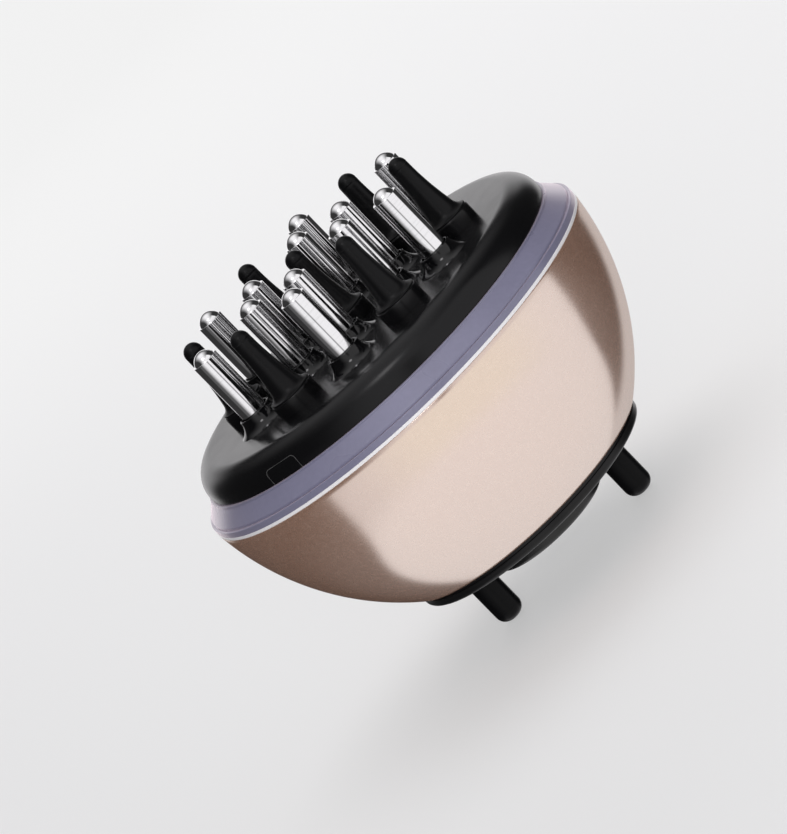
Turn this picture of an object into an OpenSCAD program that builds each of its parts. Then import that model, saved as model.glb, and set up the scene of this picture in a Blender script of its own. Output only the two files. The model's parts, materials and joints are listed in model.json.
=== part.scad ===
// Electric scalp massager: a palm-sized bowl with a field of sprung metal caps and soft
// rubber pins on its head, and a power button between two finger posts on its base.
// Frame: +Z runs from the base to the pins, Z = 0 is the plane of the finger posts' ends,
// the Z axis is the axis of the bowl, and the X axis runs through the two posts.
// All sizes are in millimetres.

/* [Bowl] */
// Outer radius of the bowl at its rim
rim_r = 46; // [44:0.5:50]
// Outer radius of the bowl where it meets the base plate
foot_r = 28; // [27:0.25:30]
// Height of the bowl from the base plate to its rim
bowl_h = 35; // [33:0.5:40]
// Radius of the arc that the bowl's outside follows
bowl_arc_r = 52.65; // [48:0.25:60]
// Wall of the bowl
bowl_wall = 2; // [1.6:0.1:2.6]

/* [Base plate] */
// Outer radius of the base plate
plate_r = 27.2; // [26:0.1:27.8]
// Thickness of the base plate
plate_t = 2.5; // [2.2:0.1:3.2]
// Radius of the plate's outer lower edge
plate_edge_r = 0.7; // [0.3:0.1:1]
// Height of the ring that centres the plate in the bowl
plate_spigot_h = 1.4; // [1:0.1:2]
// Radial thickness of that ring
plate_spigot_t = 1.1; // [0.8:0.1:1.2]

/* [Finger posts] */
// Diameter of a finger post
post_d = 5.8; // [5:0.1:7]
// Length of a post below the base plate
post_l = 13.5; // [11:0.5:16]
// Distance from the axis to the middle of a post
post_x = 17; // [16.6:0.1:18]
// Radius that rounds the free end of a post
post_end_r = 2.2; // [1:0.1:2.5]
// Diameter of the spigot that centres a post in the plate
post_spigot_d = 3.8; // [3.4:0.1:4.4]
// Length of that spigot
post_spigot_l = 1.4; // [1:0.1:1.6]
// Depth of the recess in the plate that a post stands in
post_seat_h = 0.4; // [0.2:0.05:0.5]
// Step in a post's radius where it enters that recess
post_seat_step = 0.3; // [0.2:0.05:0.4]
// Gap round a post at that recess
post_seat_gap = 0.4; // [0.3:0.05:0.6]

/* [Power button] */
// Radius of the power button
button_r = 13.2; // [12:0.1:13.4]
// How far the middle of the button stands below the plate
button_proud = 6.4; // [5:0.1:7]
// Radius of the button's crown
button_crown_r = 68; // [50:1:80]
// Radius between the crown and the side of the button
button_edge_r = 0.8; // [0.4:0.1:1.2]
// Thickness of the button at its middle
button_roof = 3; // [2.8:0.1:3.6]
// Side wall of the button
button_wall = 1.6; // [1.2:0.1:2]
// Width of the flange that keeps the button in
button_flange_w = 0.9; // [0.6:0.1:1.1]
// Thickness of that flange
button_flange_t = 1.2; // [0.8:0.1:1.5]
// Travel of the power button
button_travel = 1; // [0.6:0.1:1.2]
// Diameter of the boss that presses the switch
button_boss_d = 3; // [2.4:0.1:4]

/* [Button spring and seal] */
// Diameter of the button spring over its wire
button_spring_d = 12; // [11:0.1:14]
// Wire of the button spring
button_spring_wire = 0.7; // [0.5:0.05:0.9]
// Turns of the button spring
button_spring_turns = 4; // [3:0.5:5]
// Radial width of the button seal
seal_w = 0.9; // [0.7:0.05:1]
// Height of the button seal
seal_h = 1; // [0.8:0.05:1.2]

/* [Trim ring and light ring] */
// Height of the trim ring above the rim of the bowl
trim_h = 1.9; // [1.6:0.1:2.4]
// Radial width of the trim ring
trim_w = 4.1; // [3.9:0.1:4.4]
// Radius of the trim ring's outer upper edge
trim_edge_r = 0.7; // [0.3:0.1:1]
// Depth that the trim ring reaches into the bowl
trim_spigot_h = 2; // [1.5:0.1:2.5]
// Radial thickness of that part of the trim ring
trim_spigot_t = 1.7; // [1.2:0.1:1.8]
// Height of the light ring above the trim ring
light_h = 3.6; // [3:0.1:4.5]
// Step from the trim ring's outside to the light ring's
light_step = 0.7; // [0.5:0.1:1]
// Radial width of the light ring's slope
light_slope_w = 2.5; // [2:0.1:3]
// Height of the light ring's upright edge at the bottom and at the top
light_edge_h = 0.45; // [0.3:0.05:0.6]
// Depth of the light ring's spigot inside the trim ring
light_spigot_h = 2.3; // [1.5:0.1:2.5]
// Radial thickness of that spigot
light_spigot_t = 1.1; // [0.8:0.1:1.2]
// Cord of the head seal
head_seal_d = 1.1; // [0.9:0.05:1.2]

/* [Head cover] */
// Height of the head cover
cover_h = 5.8; // [5.4:0.1:7]
// Wall of the head cover
cover_wall = 2; // [1.6:0.1:2.4]
// Radius of the cover's outer shoulder
cover_shoulder_r = 4.9; // [4:0.1:5.2]
// Ledge of the light ring that shows round the cover
cover_ledge = 0.5; // [0.3:0.1:0.8]
// Depth of the cover's spigot inside the light ring
cover_spigot_h = 1.2; // [0.8:0.1:1.5]
// Radial thickness of that spigot
cover_spigot_t = 0.9; // [0.7:0.1:1]
// How far the spigot stands out past the inside of the cover's wall
cover_spigot_out = 0.2; // [0.1:0.05:0.3]
// Height that the spigot is joined to the cover's wall
cover_spigot_root = 1.5; // [1:0.1:2]
// Number of screw bosses under the cover
boss_n = 4; // [4:1:4]
// Distance from the cover's edge to the middle of a screw boss
boss_inset = 6.9; // [6.6:0.1:7.4]
// Diameter of a screw boss above the LED board
boss_d = 7; // [6.4:0.1:7.4]
// Diameter of a screw boss below the LED board's top
boss_tip_d = 5; // [4.6:0.1:5.4]

/* [Pin field] */
// Pitch of the pins: the rings lie at one and at two pitches from the middle
pin_pitch = 13.06; // [12.6:0.02:13.4]
// Turn of the pin field against the line through the finger posts, in degrees
pin_turn = -12; // [-20:1:0]
// Pins of each kind in a ring
ring_n = 6; // [6:1:6]

/* [Massage caps] */
// Diameter of a metal cap
cap_d = 5.4; // [5.2:0.1:6]
// Length of a cap's straight side
cap_l = 13.4; // [12:0.1:15]
// Width of the ledge between a cap's side and its dome
cap_ledge = 0.4; // [0.2:0.05:0.5]
// Height of the dome above that ledge
cap_dome_h = 1.85; // [1.5:0.05:2.1]
// Gap from the cover's face to the rim of a cap
cap_gap = 2.7; // [2.6:0.1:3.5]
// Travel of a cap
cap_travel = 1.5; // [0.8:0.1:1.5]
// Thickness between the cap's bore and the ledge
cap_roof = 1.4; // [1:0.1:2]
// Diameter of the stem inside a cap
stem_d = 1.6; // [1.4:0.05:1.8]
// Diameter of the riveted foot of a stem
foot_d = 3; // [2.6:0.1:3.4]
// Thickness of that foot
foot_t = 0.8; // [0.6:0.1:1.2]

/* [Cap springs] */
// Diameter of a cap spring over its wire
spring_d = 3.8; // [3.4:0.05:4]
// Wire of a cap spring
spring_wire = 0.45; // [0.35:0.05:0.55]
// Turns of a cap spring
spring_turns = 4; // [3:0.5:4]

/* [Pin carrier] */
// Thickness of the carrier plate
carrier_t = 2; // [1.6:0.1:2.4]
// Gap between the carrier and the inside of the cover
carrier_drop = 2.3; // [2:0.1:2.6]
// Rim of the carrier plate beyond the outer ring of pins
carrier_rim = 4.4; // [3.5:0.1:4.6]
// Diameter of a tubular guide post
guide_d = 4.3; // [4:0.05:4.4]
// Height of a guide post above the cover's face
guide_h = 9.7; // [8.5:0.1:10.5]
// Distance from the axis to a carrier screw
carrier_screw_r = 18.5; // [18:0.1:19]
// Number of carrier screws
carrier_screw_n = 3; // [3:1:3]
// Diameter of the bosses for the carrier screws
carrier_boss_d = 5; // [4.4:0.1:5.4]
// Clearance of the carrier's edge round the charging socket
carrier_notch_gap = 0.5; // [0.3:0.1:1]

/* [Collars and sockets] */
// Clearance round a cap in the flared collar that it slides into
collar_gap = 0.3; // [0.3:0.05:0.4]
// Wall of the collar at its top
collar_wall = 0.5; // [0.4:0.05:0.7]
// Radius of the collar at the cover's face
collar_foot_r = 5.5; // [5:0.1:5.8]
// Height of the collar
collar_h = 2.8; // [2.6:0.1:3]
// Step at the foot of the collar
collar_step = 0.1; // [0.05:0.05:0.2]
// Diameter of a rubber pin's socket
socket_d = 9.3; // [9.1:0.1:9.8]
// Height of that socket
socket_h = 2.9; // [2:0.1:3]

/* [Rubber pins] */
// Radius of a rubber pin's bell at the socket
bell_r = 4.5; // [4.3:0.05:4.5]
// Height of the flared part of the bell
bell_h = 1.75; // [1.6:0.05:2.2]
// Height of the bell's upright lip
bell_lip_h = 0.25; // [0.15:0.05:0.3]
// Radius of a rubber pin above its bell
neck_r = 3.05; // [2.9:0.05:3.1]
// Length of the slim, tapered part
taper_l = 11.3; // [10:0.1:12]
// Radius of the round tip
tip_r = 1.95; // [1.8:0.05:2.1]
// Diameter of the peg that holds a pin in its socket
peg_d = 5; // [4.4:0.1:5.4]
// Diameter of the peg's retaining head
peg_head_d = 6.6; // [6:0.1:7]
// Thickness of that head
peg_head_t = 1; // [0.8:0.1:1.4]

/* [Middle frame] */
// Depth of the frame plate's top below the rim of the bowl
frame_drop = 2; // [1.8:0.1:3]
// Thickness of the frame plate
frame_t = 2; // [1.6:0.1:2.4]
// Gap between the frame plate and the light ring's bore
frame_gap = 0.6; // [0.4:0.1:1]
// Distance from the axis to a leg of the frame
leg_r = 21.5; // [21.2:0.05:21.6]
// Angle of the first leg
leg_a = 66; // [64:0.5:70]
// Diameter of a leg
leg_d = 5.2; // [4.8:0.1:5.3]
// Diameter of the rings that carry the LED board
standoff_d = 8; // [7.4:0.1:8.6]
// Radius of the wire holes in the frame plate
wire_hole_r = 4; // [3:0.5:4.5]
// Distance from the axis to a wire hole
wire_hole_pcr = 29.6; // [29:0.2:30.4]
// Thickness of the plates that hold the motor from above
saddle_t = 2; // [1.6:0.1:2.4]
// Wall of those plates beside the can
saddle_wall = 1.6; // [1.2:0.1:2]
// Distance between the motor strap and such a plate
saddle_gap = 3.5; // [3:0.5:4]

/* [Motor] */
// Diameter of the motor can
motor_d = 20; // [18:0.2:20.4]
// Width of the can across its flats
motor_flats = 15; // [13:0.2:15.6]
// Length of the can
motor_l = 25; // [20:0.5:26]
// Distance of the motor's axis from the middle plane
motor_y = 9; // [8.8:0.1:9.2]
// Diameter of the motor shaft
shaft_d = 2; // [1.8:0.1:2.4]
// Length of shaft that stands out of the can
shaft_out = 9; // [8:0.5:10]
// Radius of the eccentric weight
weight_r = 6.2; // [5:0.1:6.6]
// Length of the eccentric weight
weight_l = 6; // [4:0.5:6.5]
// Thickness of the motor strap
strap_t = 1.2; // [1:0.1:1.6]
// Width of the motor strap
strap_w = 8; // [6:0.5:9]
// Length of an ear of the strap
strap_ear = 3.9; // [3.8:0.1:4.2]
// Wall of the frame's bosses for the strap screws
strap_boss_wall = 1.2; // [1:0.1:1.5]
// Radius and length of the can's bearing hub
hub_size = [3, 1.5];
// Radius and length of the can's end cap
end_cap_size = [4, 1];

/* [Battery] */
// Diameter of the battery
cell_d = 14; // [13:0.1:14.2]
// Length of the battery
cell_l = 50; // [40:0.5:50]
// Distance of the battery's axis from the middle plane
cell_y = 9.5; // [9.2:0.1:9.6]
// Wall of the frame's battery clips
clip_wall = 1.4; // [1.2:0.1:1.6]
// Width of a battery clip
clip_w = 3; // [2:0.5:4]
// Distance from the middle to a battery clip
clip_x = 17; // [16:0.5:20]
// Opening of a clip towards the base, in degrees
clip_mouth = 100; // [80:5:120]
// Radius and length of the battery's raised pole
pole_size = [2.8, 1];

/* [LED board and charging port] */
// Thickness of the LED board
led_board_t = 1.2; // [1:0.1:1.6]
// Gap between the frame plate and the LED board
led_board_gap = 3; // [2.4:0.1:3.2]
// Number of LEDs
led_n = 16; // [8:8:16]
// Length, width and height of an LED
led_size = [1.6, 2, 1.2];
// Distance of an LED from the board's edge
led_inset = 0.2; // [0.1:0.1:0.4]
// Gap between the LED board and the light ring's bore
led_board_edge_gap = 0.7; // [0.5:0.1:0.9]
// Width of the LED board inside its screw bosses
led_board_rim = 1.5; // [1.2:0.1:2]
// Angle of the charging port round the bowl's axis
port_a = -132; // [-140:1:-125]
// Width of the port's plug
plug_w = 7.9; // [7.6:0.1:8.4]
// Height of the port's plug
plug_h = 2.9; // [2.8:0.1:3.1]
// Radius of the plug's upper corners
plug_corner_r = 0.9; // [0.4:0.1:1.2]
// Length of the plug's tongue behind the cover's wall
tongue_l = 5.2; // [4:0.1:5.4]
// Width and height of the tongue
tongue_size = [6.5, 1.7];
// Wall of the charging socket's shell
port_wall = 0.35; // [0.3:0.05:0.4]
// Depth of the charging socket
port_l = 5.5; // [5:0.1:6]
// Thickness of the socket's back
port_back = 0.6; // [0.4:0.1:0.8]
// Gap between the socket's mouth and the cover's spigot
port_inset = 0.7; // [0.4:0.1:0.9]
// Travel of the plug when it is pulled out
plug_travel = 6; // [5:0.5:8]

/* [Main board and switch] */
// Radius of the main board
board_r = 18.5; // [18:0.1:18.6]
// Thickness of the main board
board_t = 1.6; // [1:0.1:2]
// Height of the main board above the plate's inner face
board_gap = 3.2; // [3:0.1:3.6]
// Distance from the axis to a board screw
board_screw_r = 16.7; // [16.5:0.05:16.8]
// Diameter of the board's posts on the plate
board_post_d = 3.8; // [3.4:0.1:4]
// Side and height of the switch
switch_size = [6, 3.4];
// Diameter and length of the switch's plunger
plunger_size = [3.2, 1];
// Corner and size of the processor on the main board
processor = [[-3.5, -3.5], [7, 7, 1]];
// Corner and size of the charging chip
charger = [[-9, 5.5], [4.5, 3, 1.8]];
// Corner and size of the battery plug
cell_plug = [[5, -10], [6, 4, 2.4]];

/* [Screws] */
// Diameter of a screw's shank
screw_d = 2; // [1.6:0.1:2.2]
// Diameter of a screw's head
head_d = 3.6; // [3:0.1:3.8]
// Height of a screw's head
head_h = 1.2; // [0.8:0.1:1.4]
// Length of the long screws under the head
screw_long = 8; // [6:0.5:9]
// Length of the short screws under the head
screw_short = 3.6; // [3:0.1:3.8]
// Width across the corners of a screw's hexagon socket
socket_w = 1.6; // [1.2:0.1:1.8]
// Depth of that socket
socket_t = 0.6; // [0.4:0.1:0.8]
// Depth of a pilot hole past the end of its screw
pilot_past = 0.5; // [0.3:0.1:0.8]

/* [Fits] */
// Radial clearance of what slides or turns
run_gap = 0.05; // [0.03:0.01:0.1]
// Radial clearance of what is fitted and stays
fit_gap = 0.1; // [0.05:0.05:0.2]
// Radial clearance of a screw in the hole it cuts its thread in
thread_gap = 0.05; // [0.03:0.01:0.1]
// Radial clearance of a screw in a through hole
screw_gap = 0.15; // [0.1:0.05:0.3]
// Clearance round the charging port's plug
plug_gap = 0.15; // [0.1:0.05:0.3]
// Clearance left when a moving piece reaches its stop
stop_gap = 0.05; // [0.03:0.01:0.1]

/* [Hidden] */
$fn = 96;
bowl_fn = 240;       // faces of the large arcs
spring_sides = 6;    // sides of a spring's wire
spring_steps = 10;   // steps in one turn of a spring
lap = 0.6;           // depth that a boss or rib sinks into the wall that carries it
over = 1;            // length that a cutting tool reaches past what it cuts
closed_turns = 0.75; // turns that lie flat at each end of a spring
flat_pitch = 0.12;   // share of a spring's rise that one turn takes where it lies flat

// Levels, from the ends of the finger posts up
plate_z = post_l;                              // outer face of the base plate
foot_z = plate_z + plate_t;                    // inner face of the plate, foot of the bowl
rim_z = foot_z + bowl_h;
trim_z = rim_z + trim_h;                       // top of the trim ring
light_z = trim_z + light_h;                    // top of the light ring, edge of the cover
cover_z = light_z + cover_h;                   // face of the head cover
cover_in_z = cover_z - cover_wall;
carrier_z = cover_in_z - carrier_drop;         // top of the carrier plate
carrier_low_z = carrier_z - carrier_t;
guide_z = cover_z + guide_h;                   // top of the guide posts
cap_z = cover_z + cap_gap;                     // rim of the caps
cap_ceiling_z = cap_z + cap_l - cap_roof;
socket_z = cover_z + socket_h;
frame_z = rim_z - frame_drop;                  // top of the frame plate
frame_low_z = frame_z - frame_t;
led_board_z = frame_z + led_board_gap;         // underside of the LED board
led_top_z = led_board_z + led_board_t;
board_z = foot_z + board_gap;                  // underside of the main board
button_z = plate_z - button_proud;             // middle of the button's crown
button_ceiling_z = button_z + button_roof;
button_flange_z = foot_z + stop_gap;
plunger_z = board_z - switch_size[1] - plunger_size[1];
motor_z = frame_low_z - motor_d / 2 - fit_gap;
cell_z = frame_low_z - cell_d / 2 - clip_wall;
plug_z = light_z + run_gap;                    // underside of the port's plug

// Radii, from the rim of the bowl inwards
bowl_c = arc_centre([rim_r, rim_z], [foot_r, foot_z], bowl_arc_r);
bowl_in_foot_r = arc_x(bowl_c, bowl_arc_r - bowl_wall, foot_z);
bowl_in_rim_r = arc_x(bowl_c, bowl_arc_r - bowl_wall, rim_z - trim_spigot_h);
trim_in_r = rim_r - trim_w;
light_r = rim_r - light_step;
light_top_r = light_r - light_slope_w;
cover_r = light_top_r - cover_ledge;
cover_in_r = cover_r - cover_wall;
cover_spigot_r = cover_in_r + cover_spigot_out;
light_in_r = cover_spigot_r + fit_gap;
boss_pcr = cover_r - boss_inset;
carrier_r = 2 * pin_pitch + carrier_rim;
frame_r = light_in_r - frame_gap;
button_hole_r = button_r + fit_gap;
seal_r = button_r + run_gap + seal_w;          // outside of the button seal
seal_z = plate_z + (plate_t - seal_h) / 2;
plate_spigot_r = bowl_in_foot_r - fit_gap;
led_board_r = light_in_r - led_board_edge_gap;
led_board_in_r = boss_pcr - boss_tip_d / 2 - led_board_rim;
head_seal_r = (trim_in_r + light_r) / 2;       // middle of the head seal's cord
cap_bore_r = guide_d / 2 + run_gap;
collar_in_r = cap_d / 2 + collar_gap;
stem_bore_r = stem_d / 2 + run_gap;
port_r = cover_spigot_r - cover_spigot_t - port_inset;  // mouth of the charging socket
plug_mid_z = plug_z + plug_h / 2;
port_in_w = tongue_size[0] / 2 + fit_gap;      // half the width of the charging socket's mouth

cap_n = 2 * ring_n;
rubber_n = ring_n + 1;

// Points along an arc from angle a0 to a1 round the centre c
function arc_points(c, r, a0, a1, n) =
    [for (i = [0:n]) let (a = a0 + (a1 - a0) * i / n) c + r * [cos(a), sin(a)]];

// Centre, on the side of the axis, of the arc of radius r that runs from p down to q
function arc_centre(p, q, r) =
    let (d = q - p, h = sqrt(r * r - d * d / 4)) (p + q) / 2 + h * [d[1], -d[0]] / norm(d);

// Radius at height z of an arc round the centre c
function arc_x(c, r, z) = c[0] + sqrt(r * r - pow(z - c[1], 2));

// Places of the pins: inner ring first, then the outer ring
function ring_place(ring, a) = ring * pin_pitch * [cos(a + pin_turn), sin(a + pin_turn)];
function cap_place(i) = ring_place(i < ring_n ? 1 : 2, (i + 0.5) * 360 / ring_n);
function rubber_place(i) = i == 0 ? [0, 0] : ring_place(2, i * 360 / ring_n);
function number(i) = str(i < 9 ? "0" : "", i + 1);
function cap_name(i) = str("cap_", number(i));
function spring_name(i) = str("cap_spring_", number(i));
function rubber_name(i) = str("rubber_pin_", i + 1);

// ---- Places that several pieces share ----

module at_legs() {
    for (a = [leg_a, 180 - leg_a, 180 + leg_a, -leg_a]) rotate(a) translate([leg_r, 0, 0]) children();
}

module at_bosses() {
    for (i = [0:boss_n - 1]) rotate(i * 360 / boss_n) translate([boss_pcr, 0, 0]) children();
}

module at_carrier_screws() {
    for (i = [0:carrier_screw_n - 1])
        rotate(i * 360 / carrier_screw_n + pin_turn) translate([carrier_screw_r, 0, 0]) children();
}

module at_board_screws() {
    for (i = [0:3]) rotate(45 + i * 90) translate([board_screw_r, 0, 0]) children();
}

module at_caps() {
    for (i = [0:cap_n - 1]) translate(cap_place(i)) children();
}

module at_rubber_pins() {
    for (i = [0:rubber_n - 1]) translate(rubber_place(i)) children();
}

module at_strap_screws() {
    for (s = [-1, 1])
        translate([0, -motor_y + s * (motor_flats / 2 + fit_gap / 2 + strap_t + strap_ear / 2), 0])
            children();
}

// ---- General shapes ----

// Screw with a hexagon socket: its head hangs below the origin and its shank points up
module screw(l) {
    difference() {
        union() {
            cylinder(d = screw_d, h = l);
            translate([0, 0, -head_h]) cylinder(d = head_d, h = head_h);
        }
        translate([0, 0, -head_h - over]) cylinder(d = socket_w, h = over + socket_t, $fn = 6);
    }
}

// Coil spring with flat, closed end turns; its foot is at the origin
module coil_spring(d, wire, turns, l) {
    n = turns * spring_steps;
    coil_r = (d - wire) / 2;
    rise = l - wire;
    centres = [
        for (i = [0:n])
            let (t = i / spring_steps, u = (t - closed_turns) / (turns - 2 * closed_turns))
            [coil_r * cos(t * 360), coil_r * sin(t * 360),
             wire / 2 + rise * (t * flat_pitch + (1 - turns * flat_pitch) * min(1, max(0, u)))]
    ];
    function ring_point(i, j) =
        let (t = i * 360 / spring_steps, b = j * 360 / spring_sides)
        centres[i] + wire / 2 * [cos(b) * cos(t), cos(b) * sin(t), sin(b)];
    points = [for (i = [0:n], j = [0:spring_sides - 1]) ring_point(i, j)];
    function index(i, j) = i * spring_sides + j % spring_sides;
    sides = [
        for (i = [0:n - 1], j = [0:spring_sides - 1])
            [index(i, j), index(i, j + 1), index(i + 1, j + 1), index(i + 1, j)]
    ];
    first = [for (j = [0:spring_sides - 1]) index(0, spring_sides - 1 - j)];
    last = [for (j = [0:spring_sides - 1]) index(n, j)];
    polyhedron(points, concat(sides, [first, last]), convexity = 10);
}

// ---- Housing ----

module body_shell() {
    color("#d9c7b9")
        rotate_extrude($fn = bowl_fn)
            intersection() {
                difference() {
                    translate(bowl_c) circle(bowl_arc_r, $fn = bowl_fn);
                    translate(bowl_c) circle(bowl_arc_r - bowl_wall, $fn = bowl_fn);
                }
                translate([foot_r / 2, foot_z]) square([rim_r, bowl_h]);
            }
}

module trim_ring() {
    spigot_r = bowl_in_rim_r - fit_gap;
    draft = 0.1;     // the side leans in by this much towards the light ring
    upper = arc_points([rim_r - trim_edge_r - draft, trim_z - trim_edge_r], trim_edge_r, 0, 90, 6);
    color("#e9e7e4")
        difference() {
            rotate_extrude()
                polygon(concat(
                    [[spigot_r, rim_z - trim_spigot_h], [spigot_r, rim_z], [rim_r, rim_z]],
                    upper,
                    [[trim_in_r, trim_z], [trim_in_r, rim_z - trim_spigot_h]]
                ));
            rotate_extrude()
                translate([head_seal_r - head_seal_d / 2 - fit_gap, trim_z - head_seal_d])
                    square([head_seal_d + 2 * fit_gap, head_seal_d + over]);
        }
}

module light_ring() {
    spigot_r = light_in_r + light_spigot_t;
    color("#8d86b4", 0.85)
        rotate_extrude()
            polygon([
                [light_in_r, trim_z - light_spigot_h],
                [spigot_r, trim_z - light_spigot_h],
                [spigot_r, trim_z],
                [light_r, trim_z],
                [light_r, trim_z + light_edge_h],
                [light_top_r, light_z - light_edge_h],
                [light_top_r, light_z],
                [light_in_r, light_z]
            ]);
}

module head_seal() {
    color("#202020")
        rotate_extrude()
            translate([head_seal_r, trim_z - head_seal_d / 2])
                circle(d = head_seal_d, $fn = 24);
}

// Outside of the head cover as a solid of revolution, drawn in by a wall t
module cover_form(t) {
    shoulder_c = [cover_r - cover_shoulder_r, cover_z - cover_shoulder_r];
    rotate_extrude()
        polygon(concat(
            [[0, light_z - (t > 0 ? over : 0)], [cover_r - t, light_z - (t > 0 ? over : 0)]],
            arc_points(shoulder_c, cover_shoulder_r - t, 0, 90, 16),
            [[0, cover_z - t]]
        ));
}

// Outline of the charging port's plug, along its radius, grown by g on its sides and top
module plug_outline(g, low) {
    w = plug_w / 2 + g;
    h = plug_z + plug_h + g;
    c = plug_corner_r + g;
    polygon(concat(
        [[-w, low], [w, low]],
        arc_points([w - c, h - c], c, 0, 90, 6),
        arc_points([c - w, h - c], c, 90, 180, 6)
    ));
}

// Runs an outline in the plane across a radius out along that radius, from r0 to r1
module along_radius(r0, r1) {
    rotate(port_a) translate([r0, 0, 0]) rotate([90, 0, 90]) linear_extrude(r1 - r0) children();
}

module collar() {
    top_r = collar_in_r + collar_wall;
    top_z = cover_z + collar_h;
    flare_w = collar_foot_r - top_r;
    flare_r = (collar_h * collar_h + flare_w * flare_w) / (2 * flare_w);
    sweep = asin(collar_h / flare_r);
    rotate_extrude()
        polygon(concat(
            [[0, cover_z - lap], [collar_foot_r, cover_z - lap], [collar_foot_r, cover_z + collar_step]],
            [for (p = arc_points([top_r + flare_r, top_z], flare_r, 180 + sweep * 5 / 6, 180, 6))
                [p[0], max(p[1], cover_z + collar_step)]],
            [[0, top_z]]
        ));
}

module head_cover() {
    color("#151515")
        difference() {
            union() {
                difference() {
                    cover_form(0);
                    cover_form(cover_wall);
                }
                rotate_extrude()
                    translate([cover_spigot_r - cover_spigot_t, light_z - cover_spigot_h])
                        square([cover_spigot_t, cover_spigot_h + cover_spigot_root]);
                at_caps() collar();
                at_rubber_pins()
                    translate([0, 0, cover_z - lap]) cylinder(d = socket_d, h = socket_h + lap);
                at_bosses() {
                    translate([0, 0, led_top_z]) cylinder(d = boss_d, h = cover_in_z + lap - led_top_z);
                    translate([0, 0, frame_z]) cylinder(d = boss_tip_d, h = led_top_z + lap - frame_z);
                }
                at_carrier_screws()
                    translate([0, 0, carrier_z])
                        cylinder(d = carrier_boss_d, h = cover_in_z + lap - carrier_z);
            }
            at_caps() {
                translate([0, 0, cover_in_z - over])
                    cylinder(r = guide_d / 2 + run_gap, h = cover_wall + 2 * over);
                translate([0, 0, cover_z]) cylinder(r = collar_in_r, h = collar_h + over);
            }
            at_rubber_pins()
                translate([0, 0, cover_in_z - over])
                    cylinder(r = peg_d / 2 + run_gap, h = socket_z - cover_in_z + 2 * over);
            at_bosses()
                translate([0, 0, frame_z - over])
                    cylinder(r = screw_d / 2 + thread_gap, h = screw_long - frame_t + pilot_past + over);
            at_carrier_screws()
                translate([0, 0, carrier_z - over])
                    cylinder(r = screw_d / 2 + thread_gap, h = screw_short - carrier_t + pilot_past + over);
            along_radius(cover_in_r - 2 * over, cover_r + over) plug_outline(plug_gap, light_z - over);
        }
}

// ---- Massage pins ----

module cap(i) {
    ledge_z = cap_z + cap_l;
    dome_base_r = cap_d / 2 - cap_ledge;
    dome_r = (dome_base_r * dome_base_r + cap_dome_h * cap_dome_h) / (2 * cap_dome_h);
    color("#d8d8d8")
        translate(cap_place(i)) {
            difference() {
                rotate_extrude() {
                    translate([0, cap_z]) square([cap_d / 2, cap_l]);
                    intersection() {
                        translate([0, ledge_z + cap_dome_h - dome_r]) circle(dome_r);
                        translate([0, ledge_z - over]) square(cap_d / 2);
                    }
                }
                translate([0, 0, cap_z - over]) cylinder(r = cap_bore_r, h = cap_ceiling_z - cap_z + over);
            }
            stem_z = carrier_low_z - stop_gap - foot_t;
            translate([0, 0, stem_z]) cylinder(d = stem_d, h = cap_ceiling_z + lap - stem_z);
            translate([0, 0, stem_z]) cylinder(d = foot_d, h = foot_t);
        }
}

module cap_spring(i) {
    color("#9a9a9a")
        translate(concat(cap_place(i), [guide_z]))
            coil_spring(spring_d, spring_wire, spring_turns, cap_ceiling_z - guide_z);
}

module rubber_pin(i) {
    neck_z = socket_z + bell_h;
    tip_z = neck_z + taper_l;
    // The side is one wide arc, upright at the tip, and the flare carries on where it ends
    side_w = neck_r - tip_r;
    side_r = (taper_l * taper_l + side_w * side_w) / (2 * side_w);
    lean = asin(taper_l / side_r);
    flare_h = bell_h - bell_lip_h;
    sweep = 2 * atan((bell_r - neck_r) / flare_h) - lean;
    flare_r = flare_h / (sin(sweep) - sin(lean));
    color("#1b1b1b")
        translate(rubber_place(i)) {
            rotate_extrude()
                polygon(concat(
                    [[0, socket_z], [bell_r, socket_z]],
                    arc_points(
                        [neck_r + flare_r * cos(lean), neck_z + flare_r * sin(lean)],
                        flare_r, 180 + sweep, 180 + lean, 8
                    ),
                    arc_points([tip_r + side_r, tip_z], side_r, 180 + lean * 5 / 6, 180 + lean / 6, 4),
                    arc_points([0, tip_z], tip_r, 0, 90, 12)
                ));
            translate([0, 0, cover_in_z - peg_head_t])
                cylinder(d = peg_d, h = socket_z + lap - cover_in_z + peg_head_t);
            translate([0, 0, cover_in_z - peg_head_t]) cylinder(d = peg_head_d, h = peg_head_t);
        }
}

// Keeps the carrier's edge clear of the charging socket where a small bowl brings them together
module carrier_notch() {
    w = port_in_w + port_wall + carrier_notch_gap;
    along_radius(port_r - port_l - carrier_notch_gap, port_r + over)
        translate([-w, carrier_low_z - over]) square([2 * w, carrier_t + 2 * over]);
}

module pin_carrier() {
    color("#2b2b2b")
        difference() {
            union() {
                translate([0, 0, carrier_low_z]) cylinder(r = carrier_r, h = carrier_t);
                at_caps() translate([0, 0, carrier_low_z]) cylinder(d = guide_d, h = guide_z - carrier_low_z);
            }
            at_caps()
                translate([0, 0, carrier_low_z - over])
                    cylinder(r = stem_bore_r, h = guide_z - carrier_low_z + 2 * over);
            at_carrier_screws()
                translate([0, 0, carrier_low_z - over])
                    cylinder(r = screw_d / 2 + screw_gap, h = carrier_t + 2 * over);
            at_bosses()
                translate([0, 0, carrier_low_z - over])
                    cylinder(r = boss_d / 2 + fit_gap, h = carrier_t + 2 * over);
            carrier_notch();
        }
}

module carrier_screws() {
    color("#8a8a8a") at_carrier_screws() translate([0, 0, carrier_low_z]) screw(screw_short);
}

// ---- Frame, motor and battery ----

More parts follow.
